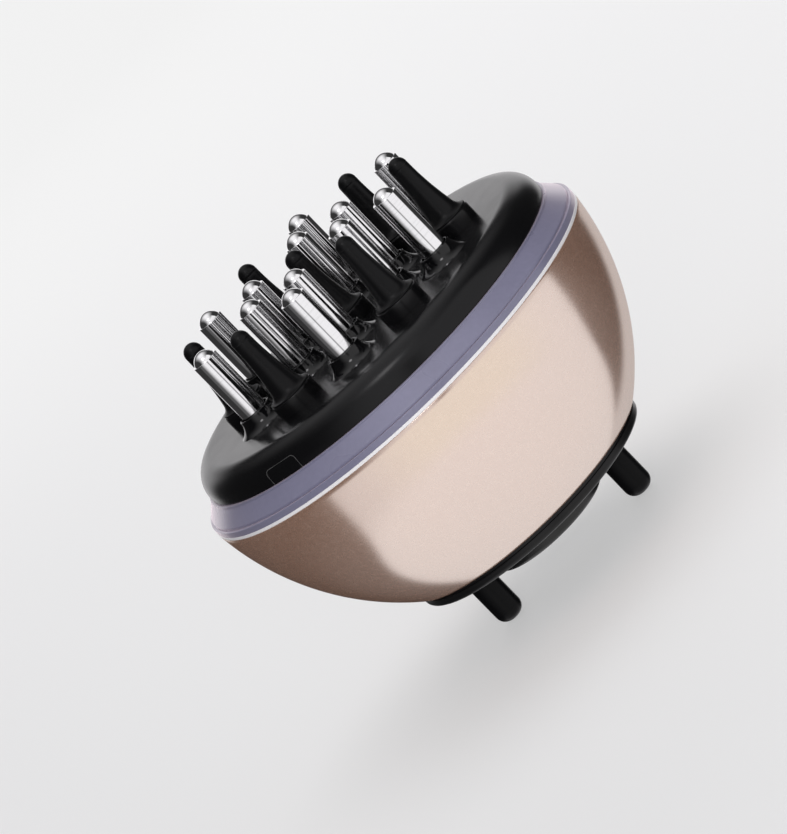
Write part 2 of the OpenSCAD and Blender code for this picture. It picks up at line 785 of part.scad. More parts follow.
// Section of the motor can in the plane across its axis, grown by g
module can_section(g) {
    intersection() {
        circle(motor_d / 2 + g);
        square([motor_flats + 2 * g, motor_d + 2 * g + over], center = true);
    }
}

// Runs an outline in the YZ plane along X for a width w about the middle x
module along_x(x, w) {
    translate([x - w / 2, 0, 0]) rotate([90, 0, 90]) linear_extrude(w) children();
}

module battery_clip() {
    mouth = clip_mouth / 2;
    r = cell_d / 2 + clip_wall;
    difference() {
        union() {
            circle(r);
            translate([-cell_d / 4, 0]) square([cell_d / 2, frame_low_z + lap - cell_z]);
        }
        circle(cell_d / 2 + fit_gap / 2);
        polygon([[0, 0], 2 * r * [-sin(mouth), -cos(mouth)], 2 * r * [sin(mouth), -cos(mouth)]]);
    }
}

module motor_saddle() {
    difference() {
        translate([-motor_flats / 2 - saddle_wall, motor_d / 10])
            square([motor_flats + 2 * saddle_wall, frame_low_z + lap - motor_z - motor_d / 10]);
        can_section(fit_gap / 2);
    }
}

module mid_frame() {
    saddle_x = (strap_w + saddle_t) / 2 + saddle_gap;
    strap_boss_r = screw_d / 2 + strap_boss_wall;
    color("#4a4d52")
        difference() {
            union() {
                translate([0, 0, frame_low_z]) cylinder(r = frame_r, h = frame_t);
                at_legs() translate([0, 0, foot_z]) cylinder(d = leg_d, h = frame_low_z + lap - foot_z);
                at_bosses() translate([0, 0, frame_z - lap]) cylinder(d = standoff_d, h = led_board_gap + lap);
                at_strap_screws()
                    translate([0, 0, frame_z - lap]) cylinder(r = strap_boss_r, h = screw_short - frame_t + lap);
                for (x = [-clip_x, clip_x])
                    along_x(x, clip_w) translate([cell_y, cell_z]) battery_clip();
                for (x = [-saddle_x, saddle_x])
                    along_x(x, saddle_t) translate([-motor_y, motor_z]) motor_saddle();
            }
            at_legs()
                translate([0, 0, foot_z - over])
                    cylinder(r = screw_d / 2 + thread_gap,
                             h = screw_long - plate_t + head_h + pilot_past + over);
            at_bosses() {
                translate([0, 0, frame_z]) cylinder(r = boss_tip_d / 2 + fit_gap, h = led_board_gap + over);
                translate([0, 0, frame_low_z - over])
                    cylinder(r = screw_d / 2 + screw_gap, h = frame_t + 2 * over);
            }
            at_strap_screws()
                translate([0, 0, frame_low_z - over])
                    cylinder(r = screw_d / 2 + thread_gap, h = screw_short + 2 * over);
            for (a = [45, 135, 225, 315])
                rotate(a) translate([wire_hole_pcr, 0, frame_low_z - over])
                    cylinder(r = wire_hole_r, h = frame_t + 2 * over);
        }
}

module frame_screws() {
    color("#8a8a8a") at_bosses() translate([0, 0, frame_low_z]) screw(screw_long);
}

module motor_body() {
    color("#a9acb0")
        difference() {
            union() {
                along_x(0, motor_l) translate([-motor_y, motor_z]) can_section(0);
                translate([motor_l / 2 - over, -motor_y, motor_z])
                    rotate([0, 90, 0]) cylinder(r = hub_size[0], h = hub_size[1] + over);
                translate([-motor_l / 2 - end_cap_size[1], -motor_y, motor_z])
                    rotate([0, 90, 0]) cylinder(r = end_cap_size[0], h = end_cap_size[1] + over);
            }
            translate([motor_l / 2 - shaft_out, -motor_y, motor_z])
                rotate([0, 90, 0])
                    cylinder(r = shaft_d / 2 + run_gap, h = shaft_out + hub_size[1] + over);
        }
}

module motor_strap() {
    side = motor_flats / 2 + fit_gap / 2;
    color("#b5b5b5")
        difference() {
            along_x(0, strap_w) translate([-motor_y, motor_z]) {
                difference() {
                    can_section(fit_gap / 2 + strap_t);
                    can_section(fit_gap / 2);
                    translate([-motor_d, 0]) square([2 * motor_d, motor_d]);
                }
                for (s = [0, 1]) mirror([s, 0]) {
                    translate([side, -over]) square([strap_t, over + frame_low_z - motor_z]);
                    translate([side, frame_low_z - motor_z - strap_t]) square([strap_t + strap_ear, strap_t]);
                }
            }
            at_strap_screws()
                translate([0, 0, frame_low_z - strap_t - over])
                    cylinder(r = screw_d / 2 + screw_gap, h = strap_t + 2 * over);
        }
}

module strap_screws() {
    color("#8a8a8a") at_strap_screws() translate([0, 0, frame_low_z - strap_t]) screw(screw_short);
}

module motor_rotor() {
    end_gap = 0.5;   // play behind the shaft and shaft that shows past the weight
    weight_x = motor_l / 2 + shaft_out - weight_l - end_gap;
    color("#c2a35a")
        translate([0, -motor_y, motor_z]) rotate([0, 90, 0]) {
            translate([0, 0, motor_l / 2 - shaft_out + end_gap])
                cylinder(d = shaft_d, h = 2 * shaft_out - end_gap);
            translate([0, 0, weight_x]) {
                cylinder(d = 2.5 * shaft_d, h = weight_l);
                intersection() {
                    cylinder(r = weight_r, h = weight_l);
                    translate([0, -weight_r, 0]) cube([weight_r, 2 * weight_r, weight_l]);
                }
            }
        }
}

module battery() {
    color("#3d6ea5")
        translate([-cell_l / 2, cell_y, cell_z]) rotate([0, 90, 0]) {
            cylinder(d = cell_d, h = cell_l - pole_size[1]);
            cylinder(r = pole_size[0], h = cell_l);
        }
}

// ---- LED board and charging port ----

module led_board() {
    color("#2f5d3a")
        difference() {
            union() {
                translate([0, 0, led_board_z]) cylinder(r = led_board_r, h = led_board_t);
                for (i = [0:led_n - 1])
                    rotate((i + 0.5) * 360 / led_n)
                        translate([led_board_r - led_size[0] - led_inset, -led_size[1] / 2, led_board_z])
                            cube([led_size[0], led_size[1], led_board_t + led_size[2]]);
            }
            translate([0, 0, led_board_z - over]) cylinder(r = led_board_in_r, h = led_board_t + 2 * over);
            at_bosses()
                translate([0, 0, led_board_z - over])
                    cylinder(r = boss_tip_d / 2 + fit_gap, h = led_board_t + 2 * over);
        }
}

module charging_socket() {
    w = port_in_w;
    h = tongue_size[1] / 2 + fit_gap;
    color("#b8b8bb")
        difference() {
            along_radius(port_r - port_l, port_r)
                translate([-w - port_wall, led_top_z])
                    square([2 * (w + port_wall), plug_mid_z + h + port_wall - led_top_z]);
            along_radius(port_r - port_l + port_back, port_r + over)
                translate([-w, plug_mid_z - h]) square([2 * w, 2 * h]);
        }
}

module port_plug() {
    color("#1a1a1a") {
        intersection() {
            cover_form(0);
            along_radius(cover_in_r, cover_r + over) plug_outline(0, plug_z);
        }
        along_radius(cover_in_r - tongue_l, cover_in_r + lap)
            translate([0, plug_mid_z]) square(tongue_size, center = true);
    }
}

// ---- Main board, switch and button ----

module main_board() {
    color("#2f5d3a")
        difference() {
            union() {
                translate([0, 0, board_z]) cylinder(r = board_r, h = board_t);
                for (part = [processor, charger, cell_plug])
                    translate(concat(part[0], [board_z])) cube(part[1] + [0, 0, board_t]);
            }
            at_board_screws()
                translate([0, 0, board_z - over]) cylinder(r = screw_d / 2 + screw_gap, h = board_t + 2 * over);
        }
}

module board_screws() {
    color("#8a8a8a")
        at_board_screws() translate([0, 0, board_z + board_t]) rotate([180, 0, 0]) screw(screw_short);
}

module tact_switch() {
    color("#35363a") {
        translate([-switch_size[0] / 2, -switch_size[0] / 2, board_z - switch_size[1]])
            cube([switch_size[0], switch_size[0], switch_size[1]]);
        translate([0, 0, plunger_z]) cylinder(d = plunger_size[0], h = plunger_size[1] + lap);
    }
}

module power_button() {
    crown_c = [0, button_z + button_crown_r];
    edge_x = button_r - button_edge_r;
    edge_z = crown_c[1] - sqrt(pow(button_crown_r - button_edge_r, 2) - edge_x * edge_x);
    crown_end = atan2(edge_z - crown_c[1], edge_x);
    top_z = button_flange_z + button_flange_t;
    color("#343434")
        difference() {
            rotate_extrude()
                polygon(concat(
                    arc_points(crown_c, button_crown_r, -90, crown_end, 10),
                    arc_points([edge_x, edge_z], button_edge_r, crown_end, 0, 6),
                    [[button_r, button_flange_z], [button_r + button_flange_w, button_flange_z]],
                    [[button_r + button_flange_w, top_z], [0, top_z]]
                ));
            translate([0, 0, button_ceiling_z])
                difference() {
                    cylinder(r = button_r - button_wall, h = top_z - button_ceiling_z + over);
                    translate([0, 0, -over])
                        cylinder(d = button_boss_d,
                                 h = plunger_z - button_travel - stop_gap - button_ceiling_z + over);
                }
        }
}

module button_spring() {
    color("#9a9a9a")
        translate([0, 0, button_ceiling_z])
            coil_spring(button_spring_d, button_spring_wire, button_spring_turns, board_z - button_ceiling_z);
}

module button_seal() {
    color("#202020")
        translate([0, 0, seal_z])
            difference() {
                cylinder(r = seal_r, h = seal_h);
                translate([0, 0, -over]) cylinder(r = button_r + run_gap, h = seal_h + 2 * over);
            }
}

// ---- Base ----

module base_plate() {
    color("#1d1d1d")
        difference() {
            union() {
                rotate_extrude()
                    polygon(concat(
                        [[0, plate_z]],
                        arc_points([plate_r - plate_edge_r, plate_z + plate_edge_r], plate_edge_r, -90, 0, 6),
                        [[plate_r, foot_z], [0, foot_z]]
                    ));
                difference() {
                    translate([0, 0, foot_z - lap]) cylinder(r = plate_spigot_r, h = plate_spigot_h + lap);
                    translate([0, 0, foot_z - over])
                        cylinder(r = plate_spigot_r - plate_spigot_t, h = plate_spigot_h + 2 * over);
                    at_legs() translate([0, 0, foot_z - over])
                        cylinder(r = leg_d / 2 + fit_gap, h = plate_spigot_h + 2 * over);
                }
                at_board_screws() translate([0, 0, foot_z - lap]) cylinder(d = board_post_d, h = board_gap + lap);
            }
            translate([0, 0, plate_z - over]) cylinder(r = button_hole_r, h = plate_t + 2 * over);
            translate([0, 0, seal_z]) cylinder(r = seal_r + run_gap, h = seal_h);
            for (s = [-1, 1]) translate([s * post_x, 0, plate_z - over]) {
                cylinder(r = post_d / 2 + post_seat_gap, h = over + post_seat_h);
                cylinder(r = post_spigot_d / 2 + fit_gap / 2, h = over + post_spigot_l);
                cylinder(r = screw_d / 2 + screw_gap, h = plate_t + 2 * over);
            }
            at_legs() translate([0, 0, plate_z - over]) {
                cylinder(r = head_d / 2 + screw_gap, h = over + head_h);
                cylinder(r = screw_d / 2 + screw_gap, h = plate_t + 2 * over);
            }
            at_board_screws()
                translate([0, 0, board_z - screw_short + board_t - pilot_past])
                    cylinder(r = screw_d / 2 + thread_gap, h = screw_short + over);
        }
}

module base_screws() {
    color("#8a8a8a") at_legs() translate([0, 0, plate_z + head_h]) screw(screw_long);
}

module finger_post(s) {
    seat_r = post_d / 2 - post_seat_step;
    seat_z = plate_z + post_seat_h;
    color("#161616")
        translate([s * post_x, 0, 0])
            difference() {
                union() {
                    rotate_extrude()
                        polygon(concat(
                            [[0, 0]],
                            arc_points([post_d / 2 - post_end_r, post_end_r], post_end_r, -90, 0, 8),
                            [[post_d / 2, plate_z], [seat_r, plate_z], [seat_r, seat_z], [0, seat_z]]
                        ));
                    translate([0, 0, plate_z - lap]) cylinder(d = post_spigot_d, h = lap + post_spigot_l);
                }
                translate([0, 0, foot_z - screw_long - pilot_past])
                    cylinder(r = screw_d / 2 + thread_gap, h = screw_long + pilot_past + over);
            }
}

module post_screws() {
    color("#8a8a8a")
        for (s = [-1, 1]) translate([s * post_x, 0, foot_z]) rotate([180, 0, 0]) screw(screw_long);
}

// ---- The assembly ----

body_shell();
trim_ring();
light_ring();
head_seal();
head_cover();
pin_carrier();
carrier_screws();
mid_frame();
frame_screws();
motor_body();
motor_strap();
strap_screws();
motor_rotor();
battery();
led_board();
charging_socket();
port_plug();
main_board();
board_screws();
tact_switch();
power_button();
button_spring();
button_seal();
base_plate();
base_screws();
finger_post(-1);  // finger_post_left
finger_post(1);  // finger_post_right
post_screws();
for (i = [0:cap_n - 1]) cap(i);
for (i = [0:cap_n - 1]) cap_spring(i);
for (i = [0:rubber_n - 1]) rubber_pin(i);
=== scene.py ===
# %% [markdown]
# # An electric scalp massager
#
# The object is a palm-sized bowl with a black head on it. On the head stand twelve sprung
# metal caps and seven soft rubber pins, and a power button sits between two finger posts
# on its base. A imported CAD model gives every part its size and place, and this script gives
# the parts their finished surfaces. Everything is measured in the frame of that model:
# +Z runs from the base to the pins, and the origin is in the plane of the posts' ends.

import json
import math

import bmesh
import bpy
from mathutils import Matrix, Vector


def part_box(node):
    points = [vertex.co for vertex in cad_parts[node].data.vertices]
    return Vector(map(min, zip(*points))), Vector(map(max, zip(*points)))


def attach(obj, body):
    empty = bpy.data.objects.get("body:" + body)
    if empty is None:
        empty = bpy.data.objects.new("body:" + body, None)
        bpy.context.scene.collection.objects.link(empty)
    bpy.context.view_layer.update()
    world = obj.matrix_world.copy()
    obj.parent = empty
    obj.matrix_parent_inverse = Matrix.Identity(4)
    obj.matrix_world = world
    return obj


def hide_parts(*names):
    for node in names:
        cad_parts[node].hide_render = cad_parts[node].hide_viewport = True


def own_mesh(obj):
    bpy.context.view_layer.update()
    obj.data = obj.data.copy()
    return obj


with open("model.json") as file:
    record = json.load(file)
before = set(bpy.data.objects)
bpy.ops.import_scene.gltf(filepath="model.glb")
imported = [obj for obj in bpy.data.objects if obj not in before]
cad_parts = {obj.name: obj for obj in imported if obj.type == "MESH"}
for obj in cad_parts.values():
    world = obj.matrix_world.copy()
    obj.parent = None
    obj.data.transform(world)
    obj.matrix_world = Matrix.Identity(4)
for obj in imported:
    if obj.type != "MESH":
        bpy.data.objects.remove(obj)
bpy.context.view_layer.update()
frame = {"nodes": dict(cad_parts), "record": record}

# %% [markdown]
# Sizes are easier to read in millimetres, and Blender works in metres here. So the pieces are
# drawn in millimetres and scaled once, when their mesh is made. The sizes that the pieces
# share are read from the boxes of the CAD nodes, so that the two models can't drift apart.

# %% Shared sizes
MM = 0.001


def box_mm(node):
    """Lowest and highest corner of a CAD node, in millimetres."""
    low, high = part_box(node)
    return low / MM, high / MM


bowl_low, bowl_high = box_mm("body_shell")
light_high = box_mm("light_ring")[1]
plate_low, plate_high = box_mm("base_plate")
button_low, button_high = box_mm("power_button")
cap_low, cap_high = box_mm("cap_01")
foot_z, rim_z, rim_r = bowl_low.z, bowl_high.z, bowl_high.x
trim_z = box_mm("trim_ring")[1].z
light_z, light_r = light_high.z, light_high.x
plate_z, plate_r = plate_low.z, plate_high.x
button_z, flange_z = button_low.z, button_high.z
print(f"bowl rim {rim_r:.1f} mm at {rim_z:.1f}, rings to {light_z:.1f}, caps to {cap_high.z:.1f}")

# %% [markdown]
# ## The camera
#
# The massager is seen from its front side, a little from the head, and the view is rolled so
# that the pins point to the upper left. The camera is built from three directions: where it
# looks, what is right in the picture and what is up. A long lens from about a metre away
# keeps the pins nearly parallel, as a product picture does.

# %% Camera
CAMERA_ELEVATION = math.radians(12.4)
CAMERA_ROLL = math.radians(44.3)
CAMERA_DISTANCE = 950
HALF_PICTURE = 77.9  # half the picture's height, measured at the object
SENSOR = 36
CLIP = (0.05, 50)  # nearest and farthest thing it sees, in metres
AIM = (0.4, 10.0)  # how far the rim's middle lies right of and above the picture's middle


def make_camera():
    rim_middle = Vector((0, 0, rim_z))
    look = Vector((0, math.cos(CAMERA_ELEVATION), -math.sin(CAMERA_ELEVATION)))
    level_right = Vector((1, 0, 0))
    level_up = level_right.cross(look)
    right = math.cos(CAMERA_ROLL) * level_right - math.sin(CAMERA_ROLL) * level_up
    up = math.sin(CAMERA_ROLL) * level_right + math.cos(CAMERA_ROLL) * level_up
    place = rim_middle - AIM[0] * right - AIM[1] * up - CAMERA_DISTANCE * look
    data = bpy.data.cameras.new("camera")
    data.sensor_width = SENSOR
    data.lens = SENSOR / 2 * CAMERA_DISTANCE / HALF_PICTURE
    data.clip_start, data.clip_end = CLIP
    camera = bpy.data.objects.new("camera", data)
    turn = Matrix((right, up, -look)).transposed().to_4x4()
    camera.matrix_world = Matrix.Translation(place * MM) @ turn
    bpy.context.scene.collection.objects.link(camera)
    bpy.context.scene.camera = camera
    return camera


camera = make_camera()
print(f"camera lens {camera.data.lens:.0f} mm at {CAMERA_DISTANCE} mm")

# %% [markdown]
# ## Small helpers for node trees
#
# A shader is easiest to read when a line says which node it makes and what goes into it. One
# helper adds a node, takes its settings and its inputs by name, and links an input if it is
# given another node's socket.

# %% Adding nodes


def feed(tree, socket, value):
    """Sets an input: to a plain value, or to the socket that feeds it."""
    if isinstance(value, bpy.types.NodeSocket):
        tree.links.new(value, socket)
    else:
        socket.default_value = value


def add_node(tree, kind, settings=None, **inputs):
    """Adds a node. In the name of an input _ stands for a space, and i0 is the first input."""
    made = tree.nodes.new(kind)
    for key, value in (settings or {}).items():
        setattr(made, key, value)
    for key, value in inputs.items():
        key = int(key[1:]) if key[0] == "i" and key[1:].isdigit() else key.replace("_", " ")
        feed(tree, made.inputs[key], value)
    return made


def maths(tree, operation, *values, clamp=False):
    """A Math node; the values fill its inputs in order."""
    settings = {"operation": operation, "use_clamp": clamp}
    inputs = {f"i{i}": value for i, value in enumerate(values)}
    return add_node(tree, "ShaderNodeMath", settings, **inputs).outputs[0]


print("nodes are added with their inputs in one call")

# %% [markdown]
# A few combinations come again and again. A product joins masks, because it is 1 only where all
# of them are. A smooth step turns an angle or a distance into a soft mask, without the hard
# line that a plain comparison leaves. And a mix lays one colour over another by such a mask.

# %% Products, steps and mixes


def product(tree, *values):
    """Multiplies any number of values."""
    made = values[0]
    for value in values[1:]:
        made = maths(tree, "MULTIPLY", made, value)
    return made


def parts_of(tree, vector):
    """The three sockets X, Y and Z of a vector."""
    return add_node(tree, "ShaderNodeSeparateXYZ", Vector=vector).outputs


def smooth_step(tree, value, start, end, low=0.0, high=1.0):
    """Goes smoothly from low, where value is start, to high, where it is end."""
    made = add_node(
        tree,
        "ShaderNodeMapRange",
        {"interpolation_type": "SMOOTHSTEP"},
        Value=value,
        From_Min=start,
        From_Max=end,
        To_Min=low,
        To_Max=high,
    )
    return made.outputs["Result"]


def mix_colour(tree, factor, a, b, blend="MIX"):
    """A Mix node for colours. Its colour sockets are 6, 7 and 2, after those for other kinds."""
    settings = {"data_type": "RGBA", "blend_type": blend}
    return add_node(tree, "ShaderNodeMix", settings, i0=factor, i6=a, i7=b).outputs[2]


print("masks can be joined, softened and used")

# %% [markdown]
# A node group is a small tree with named sockets that can be placed in any material. Its
# sockets belong to the tree's interface, and each gets a default value, so that the group
# already works when only one of its inputs is set.

# %% Groups of nodes
FLOAT, COLOUR = "NodeSocketFloat", "NodeSocketColor"


def new_group(name, inputs, outputs):
    """A shader node group with named sockets: its tree, its input node and its output node."""
    tree = bpy.data.node_groups.new(name, "ShaderNodeTree")
    for label, kind, value in inputs:
        socket = tree.interface.new_socket(label, in_out="INPUT", socket_type=kind)
        socket.default_value = value
    for label, kind in outputs:
        tree.interface.new_socket(label, in_out="OUTPUT", socket_type=kind)
    return tree, tree.nodes.new("NodeGroupInput"), tree.nodes.new("NodeGroupOutput")


print("groups take", FLOAT, "and", COLOUR)

# %% [markdown]
# ## Light
#
# A glossy thing looks like what it reflects. Product studios put large white screens and black
# flags round it, and their edges draw its form. Two kinds of light do that here. Soft lamps
# light the surfaces evenly. The world is a plain pale grey for them, and for mirror rays it
# holds the studio. All of it depends only on direction, so it stays put when the camera goes
# round.
#
# A direction is easiest to think of as two angles: how far round to the side it points,
# counted from the front, and how high. A screen is then a patch with soft edges, and each edge
# says at which angle it is dark and at which it is bright. A picture of a studio wrapped round
# the world would do the same, but these edges can be moved one by one.

# %% Directions and patches


def ray_angles(tree, ray):
    """The angles of a ray in degrees: to the side, upwards, and over the head from the front."""
    x, y, z = parts_of(tree, ray)
    forwards = maths(tree, "MULTIPLY", y, -1.0)
    side = maths(tree, "DEGREES", maths(tree, "ARCTAN2", x, forwards))
    height = maths(tree, "DEGREES", maths(tree, "ARCSINE", z))
    over_head = maths(tree, "DEGREES", maths(tree, "ARCTAN2", z, forwards))
    return side, height, over_head


def patch(tree, *edges, level=1.0):
    """A soft patch of light. An edge is a socket, its value at the dark end and at the bright."""
    return product(tree, *[smooth_step(tree, *edge) for edge in edges], level)


print("a patch is bright where all its edges are")

# %% [markdown]
# The main light is a tall white screen in front of the object. Its lower edge curves away to
# both sides into a bright table, as paper on a roll does. The edge's height is the table's
# edge plus an exponential of the distance from the screen's end, so it runs level far out and
# then turns up steeply. The screen is dimmer to the left, has a soft dark seam in its middle and
# a faint glow above its edge: a reflection with such changes in it shows that a surface is
# curved. In the values below, a pair of angles is an edge: its dark end and its bright end.

# %% Front screen and table
SCREEN_MIDDLE, SCREEN_REACH = 9.5, 82.5  # side angle of its middle, and how far it reaches
TABLE_EDGE = -46.0  # below this height everything is the bright table
BEND_WIDTH, BEND_RISE = 12.0, 20.0  # how slowly and how far the lower edge turns up
EDGE_BLUR = (1.5, -1.5)
FRONT_TOP = (70.0, 40.0)
FRONT_LEVEL = (-14.0, -24.0, 0.95, 1.17)  # two heights, and the screen's level at both
DIM_SIDE, DIM_HEIGHT, DIM_SHARE = (-10.0, -80.0), (-46.0, -34.0), 0.2
FADE_SIDE, FADE_HEIGHT = (-18.0, -62.0), (-24.0, -13.0)
SEAM_MIDDLE, SEAM_BLUR, SEAM_SHARE = 5.0, (8.0, 1.0), 0.7
SEAM_FOOT, SEAM_TOP = (-20.0, -15.0), (30.0, 10.0)
GLOW_RISE, GLOW_HEIGHT, GLOW_LEVEL = (32.0, 0.0), (0.0, -16.0), 0.14


def away_from(tree, angle, middle):
    """How far an angle lies from a middle, to either side."""
    return maths(tree, "ABSOLUTE", maths(tree, "SUBTRACT", angle, middle))


def front_screens(tree, side, height):
    """The front screen with its table, less its darker parts, and the glow above its edge."""
    to_end = maths(tree, "SUBTRACT", SCREEN_REACH, away_from(tree, side, SCREEN_MIDDLE))
    bend = maths(tree, "EXPONENT", maths(tree, "DIVIDE", to_end, BEND_WIDTH))
    edge = maths(tree, "MULTIPLY_ADD", bend, BEND_RISE, TABLE_EDGE)
    above_edge = maths(tree, "SUBTRACT", height, edge)
    seam_side = away_from(tree, side, SEAM_MIDDLE)
    darker = [
        patch(tree, (side, *DIM_SIDE), (height, *DIM_HEIGHT), level=DIM_SHARE),
        patch(tree, (side, *FADE_SIDE), (height, *FADE_HEIGHT)),
        patch(
            tree,
            (seam_side, *SEAM_BLUR),
            (height, *SEAM_FOOT),
            (height, *SEAM_TOP),
            level=SEAM_SHARE,
        ),
    ]
    front = patch(tree, (above_edge, *EDGE_BLUR), (height, *FRONT_TOP), (height, *FRONT_LEVEL))
    front = product(tree, front, *[maths(tree, "SUBTRACT", 1.0, mask) for mask in darker])
    glow = patch(tree, (above_edge, *GLOW_RISE), (height, *GLOW_HEIGHT), level=GLOW_LEVEL)
    return front, glow


print(f"front screen to {SCREEN_REACH} degrees each side, table below {TABLE_EDGE}")

# %% [markdown]
# Four smaller lights complete the studio. A screen hangs overhead. A pale sweep stands behind
# and brightens the outlines. A narrow screen at the back right gives that side its rim light.
# And a small, hard lamp high in front puts a sparkle on each dome: it is a cone round one
# direction, so it is measured by the cosine of the angle to that direction.

# %% The other screens
OVERHEAD_FRONT, OVERHEAD_BACK, OVERHEAD_SPREAD = (15.0, 45.0), (155.0, 105.0), (0.8, 0.1)
SWEEP_SIDE, SWEEP_TOP, SWEEP_FOOT = (144.0, 160.0), (27.0, 14.0), (-14.0, -10.0)
RIM_SIDE, RIM_TOP, RIM_LEVEL = (140.0, 151.0), (-8.0, -13.0), 0.88
KEY_DIRECTION = (-0.10, -0.565, 0.819)
KEY_EDGE = (math.cos(math.radians(9)), math.cos(math.radians(4)))
KEY_LEVEL = 7.0


def small_screens(tree, ray, side, height, over_head):
    """The overhead screen, the sweep, the rim light and the key lamp."""
    sideways = maths(tree, "ABSOLUTE", parts_of(tree, ray)[0])
    width = maths(tree, "ABSOLUTE", side)
    settings = {"operation": "DOT_PRODUCT"}
    aim = add_node(tree, "ShaderNodeVectorMath", settings, i0=ray, i1=KEY_DIRECTION)
    return [
        patch(
            tree,
            (over_head, *OVERHEAD_FRONT),
            (over_head, *OVERHEAD_BACK),
            (sideways, *OVERHEAD_SPREAD),
        ),
        patch(tree, (width, *SWEEP_SIDE), (height, *SWEEP_TOP), (height, *SWEEP_FOOT)),
        patch(tree, (side, *RIM_SIDE), (height, *RIM_TOP), level=RIM_LEVEL),
        patch(tree, (aim.outputs["Value"], *KEY_EDGE), level=KEY_LEVEL),
    ]


print("small screens: overhead, sweep, rim, key")

# %% [markdown]
# The world puts the screens together. The brightest one wins at each point, and dark flags
# fill what is left. Light Path tells the kinds of ray apart: mirror rays see the studio, the
# camera sees a pale backdrop, and all other rays see the plain grey that lights the object.
# The lower part of the front screen is a little warmer, like paper in a warm room.

# %% The world
PLAIN_WORLD = 0.5
BACKDROP = 0.88
FLAG = 0.035  # brightness of the dark flags
COOL, WARM = (1.0, 0.985, 1.0, 1.0), (1.0, 0.985, 0.91, 1.0)
WARM_FOOT, WARM_TOP, WARM_SIDE = (-46.0, -36.0), (-15.0, -24.0), (75.0, 20.0)


def studio_world():
    world = bpy.data.worlds.new("studio")
    bpy.context.scene.world = world
    world.use_nodes = True
    tree = world.node_tree
    tree.nodes.clear()
    ray = add_node(tree, "ShaderNodeTexCoord").outputs["Generated"]
    side, height, over_head = ray_angles(tree, ray)
    light, glow = front_screens(tree, side, height)
    for screen in (glow, *small_screens(tree, ray, side, height, over_head), FLAG):
        light = maths(tree, "MAXIMUM", light, screen)
    rays = add_node(tree, "ShaderNodeLightPath").outputs
    mirror = rays["Is Glossy Ray"]
    seen = maths(tree, "MAXIMUM", rays["Is Camera Ray"], rays["Is Transmission Ray"])
    plain = maths(tree, "MULTIPLY_ADD", seen, BACKDROP - PLAIN_WORLD, PLAIN_WORLD)
    strength = add_node(tree, "ShaderNodeMix", Factor=mirror, A=plain, B=light).outputs[0]
    off_middle = away_from(tree, side, SCREEN_MIDDLE)
    warm = patch(tree, (height, *WARM_FOOT), (height, *WARM_TOP), (off_middle, *WARM_SIDE))
    tint = mix_colour(tree, product(tree, warm, mirror), COOL, WARM)
    back = add_node(tree, "ShaderNodeBackground", Color=tint, Strength=strength)
    out = tree.nodes.new("ShaderNodeOutputWorld")
    tree.links.new(back.outputs[0], out.inputs[0])
    print("world:", len(tree.nodes), "nodes")


studio_world()
bpy.context.scene.view_settings.view_transform = "Standard"

# %% [markdown]
# A lamp's power follows from how bright it should make a white sheet: for a white sheet as
# bright as the white of the picture, a small lamp at d metres needs pi * pi * d * d watts. So
# each lamp is given by that brightness, its direction, its distance and its size.

# %% Lamps


def soft_lamp(name, azimuth, elevation, distance, size, brightness):
    """A square lamp that faces the head. Azimuth 0 is the front."""
    a, e = math.radians(azimuth), math.radians(elevation)
    away = Vector((math.sin(a) * math.cos(e), -math.cos(a) * math.cos(e), math.sin(e)))
    data = bpy.data.lights.new(name, "AREA")
    data.shape = "SQUARE"
    data.size = size
    data.energy = brightness * math.pi**2 * distance**2
    lamp = bpy.data.objects.new(name, data)
    lamp.rotation_mode = "QUATERNION"
    lamp.rotation_quaternion = away.to_track_quat("Z", "Y")
    lamp.location = Vector((0, 0, rim_z * MM)) + away * distance
    lamp.visible_camera = False
    lamp.visible_glossy = False
    bpy.context.scene.collection.objects.link(lamp)


soft_lamp("front_lamp", azimuth=-4, elevation=8, distance=1.6, size=0.7, brightness=0.62)
soft_lamp("top_lamp", azimuth=150, elevation=70, distance=1.6, size=1.4, brightness=0.45)
soft_lamp("back_lamp", azimuth=170, elevation=14, distance=1.8, size=0.8, brightness=0.25)

# %% [markdown]
# ## The floor
#
# A plain pale floor runs so far back that no horizon shows. Its own colour keeps the shadow;
# a little light of its own, seen only by the camera, lifts it to the pale grey of a studio
# sweep, a bit lighter to the back. Far out it gives up its own colour and turns into the plain
# backdrop, so that it has no visible end in a low view. Mirror rays pass it by, because the
# studio above already holds a bright table.

# %% Floor
FLOOR_SIZE = 16.0
FLOOR_COLOUR, NO_COLOUR = (0.40, 0.40, 0.405, 1.0), (0.0, 0.0, 0.0, 1.0)
FLOOR_ROUGHNESS, FLOOR_GLOSS = 0.9, 0.1
LIFT_WAY = (0.698, 0.154, 0.0)  # the way in which the floor gets lighter
LIFT = (-0.16, 0.14, 0.35, 0.46)  # metres along that way, and the light at both
FLOOR_FADE = (0.35, 1.0)  # metres from the object between which it turns into plain backdrop
HORIZON_LEVEL = 0.87


